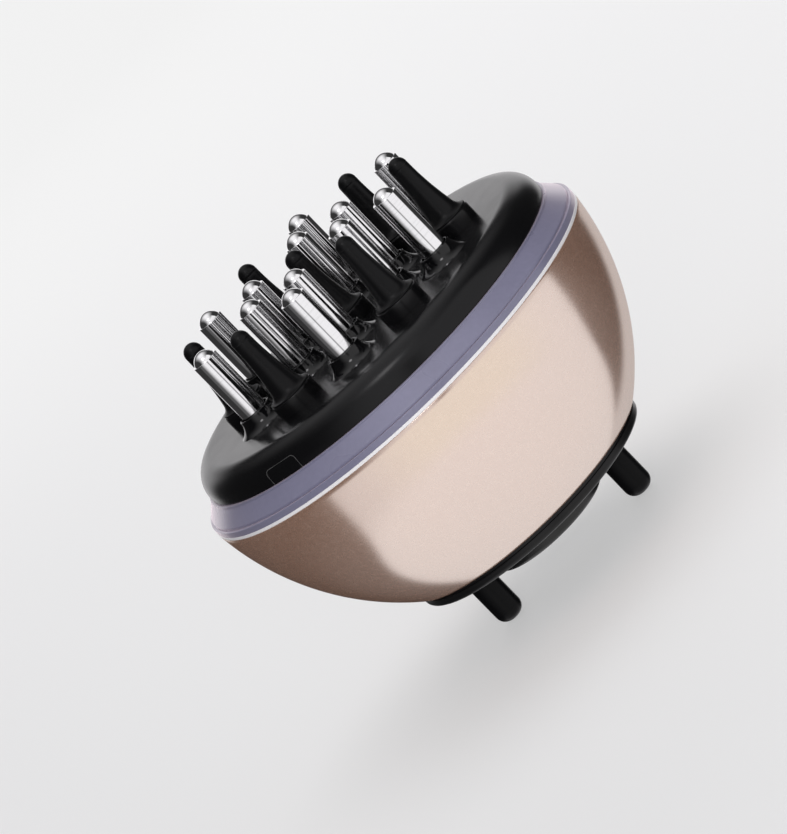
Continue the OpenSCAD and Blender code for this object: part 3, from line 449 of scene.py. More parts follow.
def paint_floor():
    paint = bpy.data.materials.new("studio_floor")
    paint.use_nodes = True
    tree = paint.node_tree
    place = add_node(tree, "ShaderNodeTexCoord").outputs["Object"]
    settings = {"operation": "DOT_PRODUCT"}
    along = add_node(tree, "ShaderNodeVectorMath", settings, i0=place, i1=LIFT_WAY)
    near = smooth_step(tree, along.outputs["Value"], *LIFT)
    distance = add_node(tree, "ShaderNodeVectorMath", {"operation": "LENGTH"}, i0=place)
    far = smooth_step(tree, distance.outputs["Value"], *FLOOR_FADE)
    near = maths(tree, "MULTIPLY", near, maths(tree, "SUBTRACT", 1.0, far))
    light = maths(tree, "MULTIPLY_ADD", far, HORIZON_LEVEL, near)
    seen = add_node(tree, "ShaderNodeLightPath").outputs["Is Camera Ray"]
    shader = tree.nodes["Principled BSDF"].inputs
    feed(tree, shader["Base Color"], mix_colour(tree, far, FLOOR_COLOUR, NO_COLOUR))
    feed(tree, shader["Emission Color"], (1.0, 1.0, 1.0, 1.0))
    feed(tree, shader["Emission Strength"], maths(tree, "MULTIPLY", light, seen))
    feed(tree, shader["Roughness"], FLOOR_ROUGHNESS)
    feed(tree, shader["Specular IOR Level"], FLOOR_GLOSS)
    return paint


def make_floor():
    half = FLOOR_SIZE / 2
    mesh = bpy.data.meshes.new("floor")
    corners = [(-half, -half, 0), (half, -half, 0), (half, half, 0), (-half, half, 0)]
    mesh.from_pydata(corners, [], [(0, 1, 2, 3)])
    mesh.materials.append(paint_floor())
    floor = bpy.data.objects.new("floor", mesh)
    bpy.context.scene.collection.objects.link(floor)
    floor.visible_glossy = False


make_floor()
print(f"floor of {FLOOR_SIZE:.0f} m at the level of the posts' ends")

# %% [markdown]
# ## Finishes
#
# Moulded plastic is never quite even: a fine grain from the tool breaks the gloss, and the
# colour wanders a little. Pearl lacquer has mica flakes in it, each with its own brightness.
# Polished metal keeps the marks of the lathe as faint rings. Each of these effects is a node
# group, so that every material can use it with its own values. All of them read Object
# coordinates, which are metres in the massager's own frame, and divide them by a size in
# millimetres: one cell of a pattern is then as wide as that size says.

# %% Pattern cells


def cells(tree, size):
    """Object coordinates counted in cells; size is a socket or a number, in millimetres."""
    place = add_node(tree, "ShaderNodeTexCoord").outputs["Object"]
    per_metre = maths(tree, "DIVIDE", 1.0 / MM, size)
    settings = {"operation": "SCALE"}
    return add_node(tree, "ShaderNodeVectorMath", settings, i0=place, Scale=per_metre).outputs[0]


def noise(tree, vector, detail, roughness=0.5):
    """Soft cloudy noise, one cloud to a cell; more detail adds finer clouds in it."""
    made = add_node(
        tree, "ShaderNodeTexNoise", Vector=vector, Scale=1.0, Detail=detail, Roughness=roughness
    )
    return made.outputs["Fac"]


print("one cell of a pattern is given in millimetres")

# %% [markdown]
# The skin of a moulding mixes two noises. The fine one is the grain that the tool leaves, and
# the broad one is the slight change over the piece that comes from how the melt flowed. Both
# shift the brightness a little, and the broad one also changes how glossy the surface is.

# %% Node group: moulded skin
BROAD_CELL = 14.0
BRIGHTNESS_GAIN = 4.0  # noise stays near its middle, so it is spread before it is used
GLOSS_WANDER = (0.3, 0.7, 0.88, 1.12)  # values of the noise, and the share of the roughness at both


def moulded_skin():
    tree, given, made = new_group(
        "Moulded Skin",
        [
            ("Color", COLOUR, (0.5, 0.5, 0.5, 1.0)),
            ("Grain Size", FLOAT, 0.3),
            ("Variation", FLOAT, 0.08),
            ("Roughness", FLOAT, 0.4),
        ],
        [("Color", COLOUR), ("Roughness", FLOAT), ("Height", FLOAT)],
    )
    grain = noise(tree, cells(tree, given.outputs["Grain Size"]), 3.0, 0.55)
    broad = noise(tree, cells(tree, BROAD_CELL), 2.0)
    halves = [maths(tree, "MULTIPLY", part, 0.5) for part in (grain, broad)]
    shift = maths(tree, "SUBTRACT", maths(tree, "ADD", *halves), 0.5)
    shift = maths(tree, "MULTIPLY", shift, given.outputs["Variation"])
    bright = maths(tree, "ADD", 1.0, maths(tree, "MULTIPLY", shift, BRIGHTNESS_GAIN))
    grey = add_node(tree, "ShaderNodeCombineColor", Red=bright, Green=bright, Blue=bright)
    shade = mix_colour(tree, 1.0, given.outputs["Color"], grey.outputs[0], "MULTIPLY")
    wander = smooth_step(tree, broad, *GLOSS_WANDER)
    feed(tree, made.inputs["Color"], shade)
    feed(tree, made.inputs["Roughness"], product(tree, given.outputs["Roughness"], wander))
    feed(tree, made.inputs["Height"], grain)
    return tree


MOULDED_SKIN = moulded_skin()
print("group:", MOULDED_SKIN.name)

# %% [markdown]
# Pearl lacquer is clear lacquer with ground pale mica in it. Each flake lies at its own angle and
# so glints with its own brightness; here that glint is painted into the colour, as a fixed
# brightness for each flake. A Voronoi texture gives every cell one random value, which is just
# that; a slow noise makes the flakes lie thicker in some places than in others, as sprayed paint
# does.

# %% Node group: pearl flakes
FLAKE_CLOUD = 1.1


def pearl_flakes():
    tree, given, made = new_group(
        "Pearl Flakes",
        [
            ("Color", COLOUR, (0.7, 0.6, 0.5, 1.0)),
            ("Flake Color", COLOUR, (1.0, 0.9, 0.8, 1.0)),
            ("Flake Size", FLOAT, 0.12),
            ("Amount", FLOAT, 0.3),
        ],
        [("Color", COLOUR), ("Height", FLOAT)],
    )
    places = cells(tree, given.outputs["Flake Size"])
    flake = add_node(tree, "ShaderNodeTexVoronoi", Vector=places, Scale=1.0).outputs["Color"]
    bright = add_node(tree, "ShaderNodeSeparateColor", Color=flake).outputs[0]
    cloud = noise(tree, cells(tree, FLAKE_CLOUD), 4.0)
    mask = maths(tree, "MULTIPLY", bright, given.outputs["Amount"])
    mask = maths(tree, "MULTIPLY", mask, cloud, clamp=True)
    # Each flake's extra brightness is a painted glint. The pale colour it tends to is the mica's
    # own.
    shade = mix_colour(tree, mask, given.outputs["Color"], given.outputs["Flake Color"])
    feed(tree, made.inputs["Color"], shade)
    feed(tree, made.inputs["Height"], bright)
    return tree


PEARL_FLAKES = pearl_flakes()
print("group:", PEARL_FLAKES.name)

# %% [markdown]
# A turned and polished tube keeps faint rings where the tool went round it. The noise is
# therefore read almost only along the axis: a little of the sideways place is let in, so that
# the rings aren't perfectly even. The group also gives a mask of the strongest marks, and the
# metals darken their colour along it: the marks are real, their darker look is painted shade.

# %% Node group: turning marks
RING_WANDER = 0.02  # how much of the sideways place is let in
# The darker rings are painted shade. These are the mark strengths where it starts and where it is
# full.
RING_SHADE_EDGE = (0.50, 0.66)  # strength of a mark where its line starts and is full


def turning_marks():
    tree, given, made = new_group(
        "Turning Marks",
        [("Pitch", FLOAT, 0.12), ("Roughness", FLOAT, 0.08), ("Spread", FLOAT, 0.5)],
        [("Height", FLOAT), ("Roughness", FLOAT), ("Line", FLOAT)],
    )
    x, _, z = parts_of(tree, cells(tree, given.outputs["Pitch"]))
    wander = maths(tree, "MULTIPLY", x, RING_WANDER)
    rings = add_node(tree, "ShaderNodeCombineXYZ", X=wander, Z=z).outputs[0]
    marks = noise(tree, rings, 4.0, 0.7)
    spread = maths(tree, "MULTIPLY", maths(tree, "SUBTRACT", marks, 0.5), given.outputs["Spread"])
    rough = product(tree, given.outputs["Roughness"], maths(tree, "ADD", 1.0, spread))
    feed(tree, made.inputs["Height"], marks)
    feed(tree, made.inputs["Roughness"], rough)
    feed(tree, made.inputs["Line"], smooth_step(tree, marks, *RING_SHADE_EDGE))
    return tree


TURNING_MARKS = turning_marks()
print("group:", TURNING_MARKS.name)

# %% [markdown]
# Black plastic shows every speck of dust, and a trace of it makes black read as a real
# surface. Dust settles from above, so the specks of a noise are kept only where the surface
# faces upwards.

# %% Node group: fine dust
SPECK_EDGE = (0.58, 0.72)  # noise at a speck's rim and in its middle
LYING_EDGE = (0.2, 0.9)  # upward part of the normal with no dust and with all of it


def fine_dust():
    tree, given, made = new_group(
        "Fine Dust",
        [
            ("Color", COLOUR, (0.02, 0.02, 0.02, 1.0)),
            ("Dust Color", COLOUR, (0.30, 0.29, 0.28, 1.0)),
            ("Speck Size", FLOAT, 0.35),
            ("Amount", FLOAT, 0.2),
        ],
        [("Color", COLOUR), ("Mask", FLOAT)],
    )
    speck = noise(tree, cells(tree, given.outputs["Speck Size"]), 5.0, 0.7)
    facing = parts_of(tree, add_node(tree, "ShaderNodeNewGeometry").outputs["Normal"])
    lying = smooth_step(tree, facing["Z"], *LYING_EDGE)
    mask = product(tree, smooth_step(tree, speck, *SPECK_EDGE), lying)
    mask = maths(tree, "MULTIPLY", mask, given.outputs["Amount"], clamp=True)
    shade = mix_colour(tree, mask, given.outputs["Color"], given.outputs["Dust Color"])
    feed(tree, made.inputs["Color"], shade)
    feed(tree, made.inputs["Mask"], mask)
    return tree


FINE_DUST = fine_dust()
print("group:", FINE_DUST.name)

# %% [markdown]
# A material is a Principled shader whose constant values are set on its sockets, with groups
# feeding its colour, roughness and bump. These helpers make such a material; the shader itself
# stays in the material, where the export can read it.

# %% Material helpers
MATERIALS = {}


def principled(name, **values):
    """A new material with its constant values on the shader; gives the tree and the shader."""
    made = bpy.data.materials.new(name)
    made.use_nodes = True
    shader = made.node_tree.nodes["Principled BSDF"]
    for key, value in values.items():
        shader.inputs[key.replace("_", " ")].default_value = value
    MATERIALS[name] = made
    return made.node_tree, shader


def place_group(tree, group, **inputs):
    return add_node(tree, "ShaderNodeGroup", {"node_tree": group}, **inputs).outputs


def dress(tree, shader, colour, roughness, height, depth):
    """Feeds a shader's colour, roughness and bump; the bump's depth is in millimetres."""
    bump = add_node(tree, "ShaderNodeBump", Strength=1.0, Distance=depth * MM, Height=height)
    feed(tree, shader.inputs["Base Color"], colour)
    feed(tree, shader.inputs["Roughness"], roughness)
    feed(tree, shader.inputs["Normal"], bump.outputs[0])


print("helpers for materials are ready")

# %% [markdown]
# The plastics and rubbers differ only in values, so one function makes them all. It places the
# moulded skin, and the dust where that is asked for. Anything else, such as a coat or a sheen,
# is set straight on the shader.

# %% A moulded finish


def moulded(
    name, colour, roughness, grain=0.3, depth=0.004, variation=0.08, dust=0.0, **values
):
    """A moulded finish. The size and depth of its grain are in millimetres."""
    tree, shader = principled(name, **values)
    skin = place_group(
        tree,
        MOULDED_SKIN,
        Color=(*colour, 1.0),
        Grain_Size=grain,
        Variation=variation,
        Roughness=roughness,
    )
    shade = skin["Color"]
    if dust:
        shade = place_group(tree, FINE_DUST, Color=shade, Amount=dust)["Color"]
    dress(tree, shader, shade, skin["Roughness"], skin["Height"], depth)


print("a grain is 0.3 mm wide where nothing else is said")

# %% [markdown]
# White and lavender parts are lightly coated. The light ring is a milky, see-through plastic; a
# little sheen stands for the light that it scatters near its outline. The blacks differ in gloss
# more than in colour: the collars are polished, the cover is satin, the posts and the rubber
# pins are almost matt. A low specular level keeps a black from turning grey where it faces a
# screen.

# %% Outer plastics and rubber
moulded(
    "white_trim",
    (0.86, 0.85, 0.87),
    0.30,
    grain=0.5,
    depth=0.002,
    variation=0.02,
    Coat_Weight=0.3,
)
moulded(
    "light_ring",
    (0.190, 0.186, 0.272),
    0.30,
    grain=0.9,
    Coat_Weight=0.4,
    Sheen_Weight=0.6,
    Sheen_Roughness=0.3,
    Sheen_Tint=(1.0, 0.80, 0.88, 1.0),
)
moulded(
    "black_cover",
    (0.004, 0.004, 0.0045),
    0.22,
    grain=0.35,
    depth=0.0015,
    dust=0.03,
    Specular_IOR_Level=0.25,
)
moulded(
    "black_collar",
    (0.003, 0.003, 0.0035),
    0.10,
    grain=0.35,
    depth=0.001,
    Specular_IOR_Level=0.4,
)
moulded("black_base", (0.006, 0.006, 0.0065), 0.30, depth=0.002, Specular_IOR_Level=0.25)
moulded("black_button", (0.010, 0.010, 0.0105), 0.26, depth=0.003, Specular_IOR_Level=0.4)
moulded("black_post", (0.004, 0.004, 0.0045), 0.30, depth=0.003, Specular_IOR_Level=0.08)
moulded("black_plastic", (0.008, 0.008, 0.0085), 0.16, depth=0.001)
moulded(
    "pin_rubber", (0.004, 0.004, 0.0045), 0.34, grain=0.16, dust=0.03, Specular_IOR_Level=0.16
)
print("outer finishes:", sorted(MATERIALS))

# %% [markdown]
# Inside, nothing has to shine. The seals are dull rubber and the frame is plain grey plastic.
# The cell has a blue wrap, whose larger grain shows that it is a shrunk film, and the boards
# have the green of the lacquer that keeps solder off.

# %% Inner plastics and rubber
# The seals inside are this grey. On the port's seam bead the same grey is a painted highlight.
moulded("seal_rubber", (0.05, 0.05, 0.05), 0.5, grain=0.2)
moulded("grey_plastic", (0.08, 0.085, 0.095), 0.5)
moulded("battery_wrap", (0.05, 0.15, 0.36), 0.3, grain=1.2, depth=0.01, variation=0.04)
moulded("circuit_board", (0.02, 0.11, 0.045), 0.45, grain=0.25, depth=0.006, variation=0.12)
print("moulded finishes:", sorted(MATERIALS))

# %% [markdown]
# The bowl's champagne lacquer is a brown ground under pale mica. Where it mirrors a screen it
# turns pale and almost neutral, and where it mirrors a flag the warm ground shows. A high index
# of refraction gives that neutral gloss, which a tinted metal would not.

# %% Champagne lacquer
GROUND, MICA = (0.375, 0.196, 0.128, 1.0), (0.95, 0.78, 0.66, 1.0)


def champagne_lacquer():
    tree, shader = principled(
        "champagne_shell",
        IOR=3.0,
        Specular_IOR_Level=1.0,
        Specular_Tint=(1.0, 0.92, 0.86, 1.0),
    )
    skin = place_group(
        tree, MOULDED_SKIN, Color=GROUND, Grain_Size=0.2, Variation=0.04, Roughness=0.15
    )
    flakes = place_group(tree, PEARL_FLAKES, Color=skin["Color"], Flake_Color=MICA, Amount=0.3)
    dress(tree, shader, flakes["Color"], skin["Roughness"], skin["Height"], depth=0.004)


champagne_lacquer()
print("lacquer: brown ground, pale mica")

# %% [markdown]
# The caps are chromed and polished, the springs are bright wire, and the screws and the motor
# are plainer steel. All are full metals: their colour is the colour of their reflections. The
# turning marks vary their roughness, and a painted shade makes the colour a touch darker along
# fine rings; the pitch of the rings follows the size of the part. The shader's Anisotropic value
# would stretch the highlights too, but it leaves no rings to see up close. Their tone wanders by
# the moulded skin's noises, since a plating is never quite even either.

# %% Metals
# The rings' darkening is painted shade: along a strong mark the metal keeps this share of its
# colour.
PAINTED_RING_SHADE = 0.93  # a turning mark's share of the metal's brightness


def metal(name, colour, roughness, pitch=0.12, depth=0.0008):
    """A metal. The pitch and depth of its turning marks are in millimetres."""
    tree, shader = principled(name, Metallic=1.0)
    marks = place_group(tree, TURNING_MARKS, Pitch=pitch, Roughness=roughness)
    tone = place_group(tree, MOULDED_SKIN, Color=(*colour, 1.0), Grain_Size=0.8, Variation=0.02)
    shaded_ring_colour = (*[PAINTED_RING_SHADE * part for part in colour], 1.0)
    # Painted shade along the strongest turning marks.
    shade = mix_colour(tree, marks["Line"], tone["Color"], shaded_ring_colour)
    dress(tree, shader, shade, marks["Roughness"], marks["Height"], depth)


metal("chrome_cap", (0.90, 0.90, 0.91), 0.09, pitch=0.5, depth=0.0014)
metal("spring_steel", (0.55, 0.55, 0.56), 0.3)
metal("screw_steel", (0.42, 0.42, 0.43), 0.32, pitch=0.2, depth=0.002)
metal("motor_steel", (0.56, 0.57, 0.58), 0.34, pitch=0.4, depth=0.002)
metal("brass", (0.72, 0.55, 0.28), 0.3, pitch=0.3, depth=0.002)
print("finishes in all:", len(MATERIALS))

# %% [markdown]
# ## Turned pieces
#
# Nearly every part of the massager is round about an axis, as if turned on a lathe. So most
# pieces start as half a section: a chain of points given as radius and height. Where an outline
# is curved, its points lie on arcs.

# %% Arcs


def arc(centre, radius, start, end, steps):
    """Points along an arc, from start to end in degrees, counted from the radius direction."""
    turns = [math.radians(start + (end - start) * i / steps) for i in range(steps + 1)]
    return [(centre[0] + radius * math.cos(t), centre[1] + radius * math.sin(t)) for t in turns]


print("an arc's angle is counted from the radius direction")

# %% [markdown]
# A corner of a section also says how far it is rounded. That matters more than any texture,
# because a real edge is never sharp, and its thin highlight is what the eye takes for quality.
# The rounding is an arc that touches both edges: half the angle between them gives how far the
# arc cuts back and where its middle lies. On both sides of it sits a guard point, which keeps
# the smooth shading of the wide faces flat. A Bevel modifier would round all edges alike.

# %% Rounded corners
CORNER_STEPS = 4
GUARD = 0.12  # distance of a guard point from a rounded corner
GUARD_ROOM = 2.2  # a guard needs this many times its distance of free edge
STRAIGHT = math.radians(88)  # half the angle of a corner that is too flat to round


def rounded_corner(before, corner, after, radius):
    """The points that replace one corner of a section by an arc with its guard points."""
    here = Vector(corner)
    inward, outward = (Vector(before) - here), (Vector(after) - here)
    lengths = inward.length, outward.length
    inward.normalize()
    outward.normalize()
    half = math.acos(max(-1.0, min(1.0, inward.dot(outward)))) / 2
    if radius <= 0 or half > STRAIGHT:
        return [tuple(here)]
    cut = radius / math.tan(half)
    middle = here + (inward + outward).normalized() * (radius / math.sin(half))
    first, last = here + inward * cut, here + outward * cut
    a, b = first - middle, last - middle
    sweep = math.atan2(a.x * b.y - a.y * b.x, a.dot(b))
    points = []
    for i in range(CORNER_STEPS + 1):
        t = sweep * i / CORNER_STEPS
        across = a.x * math.cos(t) - a.y * math.sin(t)
        up = a.x * math.sin(t) + a.y * math.cos(t)
        points.append(tuple(middle + Vector((across, up))))
    if lengths[0] > cut + GUARD_ROOM * GUARD:
        points.insert(0, tuple(first + inward * GUARD))
    if lengths[1] > cut + GUARD_ROOM * GUARD:
        points.append(tuple(last + outward * GUARD))
    return points


def section(corners, closed):
    """Rounds a section. A corner is (radius, height) or (radius, height, rounding)."""
    places = [c[:2] for c in corners]
    points = []
    for i, corner in enumerate(corners):
        at_end = not closed and i in (0, len(corners) - 1)
        if at_end or len(corner) == 2:
            points.append(tuple(places[i]))
        else:
            before, after = places[i - 1], places[(i + 1) % len(corners)]
            points += rounded_corner(before, places[i], after, corner[2])
    return points


print("a rounded corner has", CORNER_STEPS + 1, "points and two guards")

# %% [markdown]
# The section is then carried round the axis. A point on the axis becomes one pole, so the
# surface stays closed there. Normals are worked out once at the end, after the doubles are
# merged, so that every piece is a closed shell with its faces pointing out.

# %% Turning a section
SHARP_ANGLE = math.radians(38)
SAME_POINT = 0.0005  # points closer than this are one
ON_AXIS = 1e-6  # a smaller radius than this is a pole


def finish_mesh(bm, name, material):
    """Closes a mesh, points its faces outwards, scales it to metres and shades it smooth."""
    bmesh.ops.remove_doubles(bm, verts=bm.verts, dist=SAME_POINT)
    bmesh.ops.recalc_face_normals(bm, faces=bm.faces)
    bmesh.ops.scale(bm, vec=(MM, MM, MM), verts=bm.verts)
    mesh = bpy.data.meshes.new(name)
    bm.to_mesh(mesh)
    bm.free()
    mesh.shade_smooth()
    mesh.set_sharp_from_angle(angle=SHARP_ANGLE)
    mesh.materials.append(MATERIALS[material])
    return mesh


def circle(radius, count, centre=(0, 0)):
    """Points round a circle, counted from +X."""
    turns = [2 * math.pi * i / count for i in range(count)]
    return [(centre[0] + radius * math.cos(t), centre[1] + radius * math.sin(t)) for t in turns]


def turn_section(bm, points, segments, closed, centre=(0, 0)):
    """Adds a turned surface to bm, about the vertical axis through centre."""
    rings = []
    for radius, height in points:
        places = [centre] if radius < ON_AXIS else circle(radius, segments, centre)
        rings.append([bm.verts.new((*place, height)) for place in places])
    pairs = list(zip(rings, rings[1:] + rings[:1] if closed else rings[1:]))
    for low, high in pairs:
        for i in range(segments):
            j = (i + 1) % segments
            corners = [low[i % len(low)], low[j % len(low)]]
            corners += [high[j % len(high)], high[i % len(high)]]
            corners = list(dict.fromkeys(corners))
            if len(corners) > 2:
                bm.faces.new(corners)


print("corners sharper than", round(math.degrees(SHARP_ANGLE)), "degrees keep a hard edge")

# %% [markdown]
# A piece is shown as an object at the origin, unturned and unscaled, with its place in its
# mesh, because patterns that read Object coordinates would slide otherwise. It then rides on a
# body of the CAD model, so that it moves with the right joint, and it says which CAD nodes it
# stands for, because those no longer show.

# %% Showing and settling a piece
TURNED_SEGMENTS = 160


def turned(name, corners, material, segments=TURNED_SEGMENTS, centre=(0, 0), closed=True):
    """A turned piece. A closed section keeps off the axis; an open one starts and ends on it."""
    bm = bmesh.new()
    turn_section(bm, section(corners, closed), segments, closed, centre)
    return show(name, finish_mesh(bm, name, material))


def show(name, mesh):
    piece = bpy.data.objects.new(name, mesh)
    bpy.context.scene.collection.objects.link(piece)
    return piece


def settle(piece, body, slot, *nodes):
    """Sets the piece on its body and lets it stand for its CAD nodes. The slot is not used."""
    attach(piece, body)
    if nodes:
        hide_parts(*nodes)
    print(f"{piece.name}: {len(piece.data.polygons)} faces on {body}")


print("a turned piece has", TURNED_SEGMENTS, "segments where nothing else is said")

# %% [markdown]
# ## Geometry Nodes
#
# Three trees do the work that follows a rule: one bends a grid into the bowl, one repeats a
# collar or a socket over the pin field, and one winds the springs. All are plain trees with
# named inputs, and each ends in Realize Instances and Set Material.

# %% Start and end of a geometry tree
WHOLE, SOLID, PAINT = "NodeSocketInt", "NodeSocketObject", "NodeSocketMaterial"


def new_geometry_tree(name, inputs):
    """A geometry tree whose first input is the mesh it gets; inputs are (label, kind, value)."""
    tree = bpy.data.node_groups.new(name, "GeometryNodeTree")
    tree.interface.new_socket("Geometry", in_out="INPUT", socket_type="NodeSocketGeometry")
    for label, kind, value in inputs:
        socket = tree.interface.new_socket(label, in_out="INPUT", socket_type=kind)
        if value is not None:
            socket.default_value = value
    tree.interface.new_socket("Geometry", in_out="OUTPUT", socket_type="NodeSocketGeometry")
    return tree, tree.nodes.new("NodeGroupInput"), tree.nodes.new("NodeGroupOutput")


def dressed(tree, made, geometry, material):
    """The end of every tree: real geometry with its material."""
    real = add_node(tree, "GeometryNodeRealizeInstances", Geometry=geometry)
    coat = add_node(tree, "GeometryNodeSetMaterial", Geometry=real.outputs[0], Material=material)
    feed(tree, made.inputs[0], coat.outputs[0])


print("a geometry tree ends in Realize Instances and Set Material")

# %% [markdown]
# To run a tree, it is put as a modifier on an empty mesh, and each of its inputs is set by the
# identifier of its socket, because a modifier doesn't know the names. The evaluated object is
# turned into a plain mesh at once, and the modifier goes: the export keeps meshes and drops
# instances.

# %% Running a geometry tree


def grow(name, tree, **values):
    """Runs a geometry tree on an empty mesh and gives the plain mesh. Inputs are named."""
    carrier = show(name + ".carrier", bpy.data.meshes.new(name + ".carrier"))
    growth = carrier.modifiers.new("grow", "NODES")
    growth.node_group = tree
    for item in tree.interface.items_tree:
        if item.item_type == "SOCKET" and item.in_out == "INPUT" and item.name in values:
            growth[item.identifier] = values[item.name]
    depsgraph = bpy.context.evaluated_depsgraph_get()
    mesh = bpy.data.meshes.new_from_object(carrier.evaluated_get(depsgraph))
    bpy.data.objects.remove(carrier)
    return mesh


def grown_piece(name, mesh, material, scale=1.0):
    """A finished piece from a grown mesh: doubles merged, faces outwards, shaded smooth."""
    bm = bmesh.new()
    bm.from_mesh(mesh)
    bmesh.ops.scale(bm, vec=(scale, scale, scale), verts=bm.verts)
    bpy.data.meshes.remove(mesh)
    return show(name, finish_mesh(bm, name, material))


print("a tree is run once and leaves a plain mesh")

# %% [markdown]
# The bowl's outside follows one rule: a single arc from foot to rim, turned round the axis. The
# tree takes a flat grid, reads each point's place in it as a turn round the axis and a lean
# along the arc, and moves the point there. The grid's first and last column meet and are sewn
# together. Spinning a profile would give the same form, but here the rule itself is the model,
# and each of its sizes is an input.

# %% The bowl's tree


def bowl_tree():
    tree, given, made = new_geometry_tree(
        "Turned Bowl",
        [
            ("Arc Radius", FLOAT, 50.0),
            ("Centre Radius", FLOAT, 0.0),
            ("Centre Height", FLOAT, 50.0),
            ("Rim Height", FLOAT, 50.0),
            ("Foot Height", FLOAT, 15.0),
            ("Columns", WHOLE, 192),
            ("Rows", WHOLE, 40),
            ("Material", PAINT, None),
        ],
    )
    grid = add_node(
        tree,
        "GeometryNodeMeshGrid",
        Size_X=1.0,
        Size_Y=1.0,
        Vertices_X=given.outputs["Columns"],
        Vertices_Y=given.outputs["Rows"],
    )
    place = parts_of(tree, add_node(tree, "GeometryNodeInputPosition").outputs[0])
    turn = maths(tree, "MULTIPLY", maths(tree, "ADD", place[0], 0.5), 2 * math.pi)

    def arc_angle(height):
        rise = maths(tree, "SUBTRACT", given.outputs[height], given.outputs["Centre Height"])
        return maths(tree, "ARCSINE", maths(tree, "DIVIDE", rise, given.outputs["Arc Radius"]))

    low, high = arc_angle("Foot Height"), arc_angle("Rim Height")
    span = maths(tree, "SUBTRACT", high, low)
    lean = maths(tree, "MULTIPLY_ADD", maths(tree, "ADD", place[1], 0.5), span, low)
    out = maths(tree, "MULTIPLY", maths(tree, "COSINE", lean), given.outputs["Arc Radius"])
    radius = maths(tree, "ADD", out, given.outputs["Centre Radius"])
    rise = maths(tree, "MULTIPLY", maths(tree, "SINE", lean), given.outputs["Arc Radius"])
    bent = add_node(
        tree,
        "ShaderNodeCombineXYZ",
        X=maths(tree, "MULTIPLY", radius, maths(tree, "COSINE", turn)),
        Y=maths(tree, "MULTIPLY", radius, maths(tree, "SINE", turn)),
        Z=maths(tree, "ADD", rise, given.outputs["Centre Height"]),
    )
    mesh, place = grid.outputs["Mesh"], bent.outputs[0]
    moved = add_node(tree, "GeometryNodeSetPosition", Geometry=mesh, Position=place)
    sewn = add_node(
        tree, "GeometryNodeMergeByDistance", Geometry=moved.outputs[0], Distance=2 * SAME_POINT
    )
    dressed(tree, made, sewn.outputs[0], given.outputs["Material"])
    return tree


BOWL_TREE = bowl_tree()
print("tree:", BOWL_TREE.name, len(BOWL_TREE.nodes), "nodes")

# %% [markdown]
# The pins stand in rings, and the rings lie at one and two pitches from the middle. The tree
# makes one point for each pin: the point's number says in which ring it stands and how far
# round. A finished collar or socket is then placed on every point. Half a step of turn lets the
# caps and the rubber pins of one ring take turns.

# %% The pin field's tree


def pin_field_tree():
    tree, given, made = new_geometry_tree(
        "Pin Field",
        [
            ("Pitch", FLOAT, 13.0),
            ("Turn", FLOAT, 0.0),
            ("Per Ring", WHOLE, 6),
            ("First Ring", WHOLE, 1),
            ("Rings", WHOLE, 2),
            ("Half Step", FLOAT, 0.5),
            ("Piece", SOLID, None),
            ("Material", PAINT, None),
        ],
    )
    count = maths(tree, "MULTIPLY", given.outputs["Per Ring"], given.outputs["Rings"])
    index = add_node(tree, "GeometryNodeInputIndex").outputs[0]
    ring = maths(tree, "FLOOR", maths(tree, "DIVIDE", index, given.outputs["Per Ring"]))
    ring = maths(tree, "ADD", ring, given.outputs["First Ring"])
    step = maths(tree, "DIVIDE", 2 * math.pi, given.outputs["Per Ring"])
    turn = maths(tree, "MULTIPLY", maths(tree, "ADD", index, given.outputs["Half Step"]), step)
    turn = maths(tree, "ADD", turn, given.outputs["Turn"])
    radius = maths(tree, "MULTIPLY", ring, given.outputs["Pitch"])
    place = add_node(
        tree,
        "ShaderNodeCombineXYZ",
        X=maths(tree, "MULTIPLY", radius, maths(tree, "COSINE", turn)),
        Y=maths(tree, "MULTIPLY", radius, maths(tree, "SINE", turn)),
    ).outputs[0]
    points = add_node(tree, "GeometryNodePoints", Count=count, Position=place).outputs[0]
    settings = {"transform_space": "ORIGINAL"}
    piece = add_node(tree, "GeometryNodeObjectInfo", settings, Object=given.outputs["Piece"])
    spread = add_node(
        tree,
        "GeometryNodeInstanceOnPoints",
        Points=points,
        Instance=piece.outputs["Geometry"],
    )
    dressed(tree, made, spread.outputs[0], given.outputs["Material"])
    return tree


PIN_FIELD_TREE = pin_field_tree()
print("tree:", PIN_FIELD_TREE.name, len(PIN_FIELD_TREE.nodes), "nodes")

# %% [markdown]
# ## The housing
#
# The bowl is one thin moulding, sprayed with lacquer. The tree above makes its outside,
# Solidify gives it its wall and Bevel breaks its two edges. The arc is given by its radius and
# its two ends, because those can be measured, and its centre follows from them.

# %% Bowl
FOOT_R = 28.0
BOWL_ARC_R = 52.65
BOWL_WALL = 2.0
BOWL_EDGE, BOWL_EDGE_STEPS = 0.25, 3


def arc_centre(upper, lower, radius):
    """Centre, on the side of the axis, of the arc that runs through two points of a section."""
    p, q = Vector(upper), Vector(lower)
    step = q - p
    out = math.sqrt(radius**2 - step.length_squared / 4)
    return (p + q) / 2 + out * Vector((step.y, -step.x)).normalized()


def applied(piece):
    """Replaces a piece's mesh by what its modifiers make of it."""
    depsgraph = bpy.context.evaluated_depsgraph_get()
    mesh = bpy.data.meshes.new_from_object(piece.evaluated_get(depsgraph))
    piece.modifiers.clear()
    old, piece.data = piece.data, mesh
    bpy.data.meshes.remove(old)
    mesh.name = piece.name


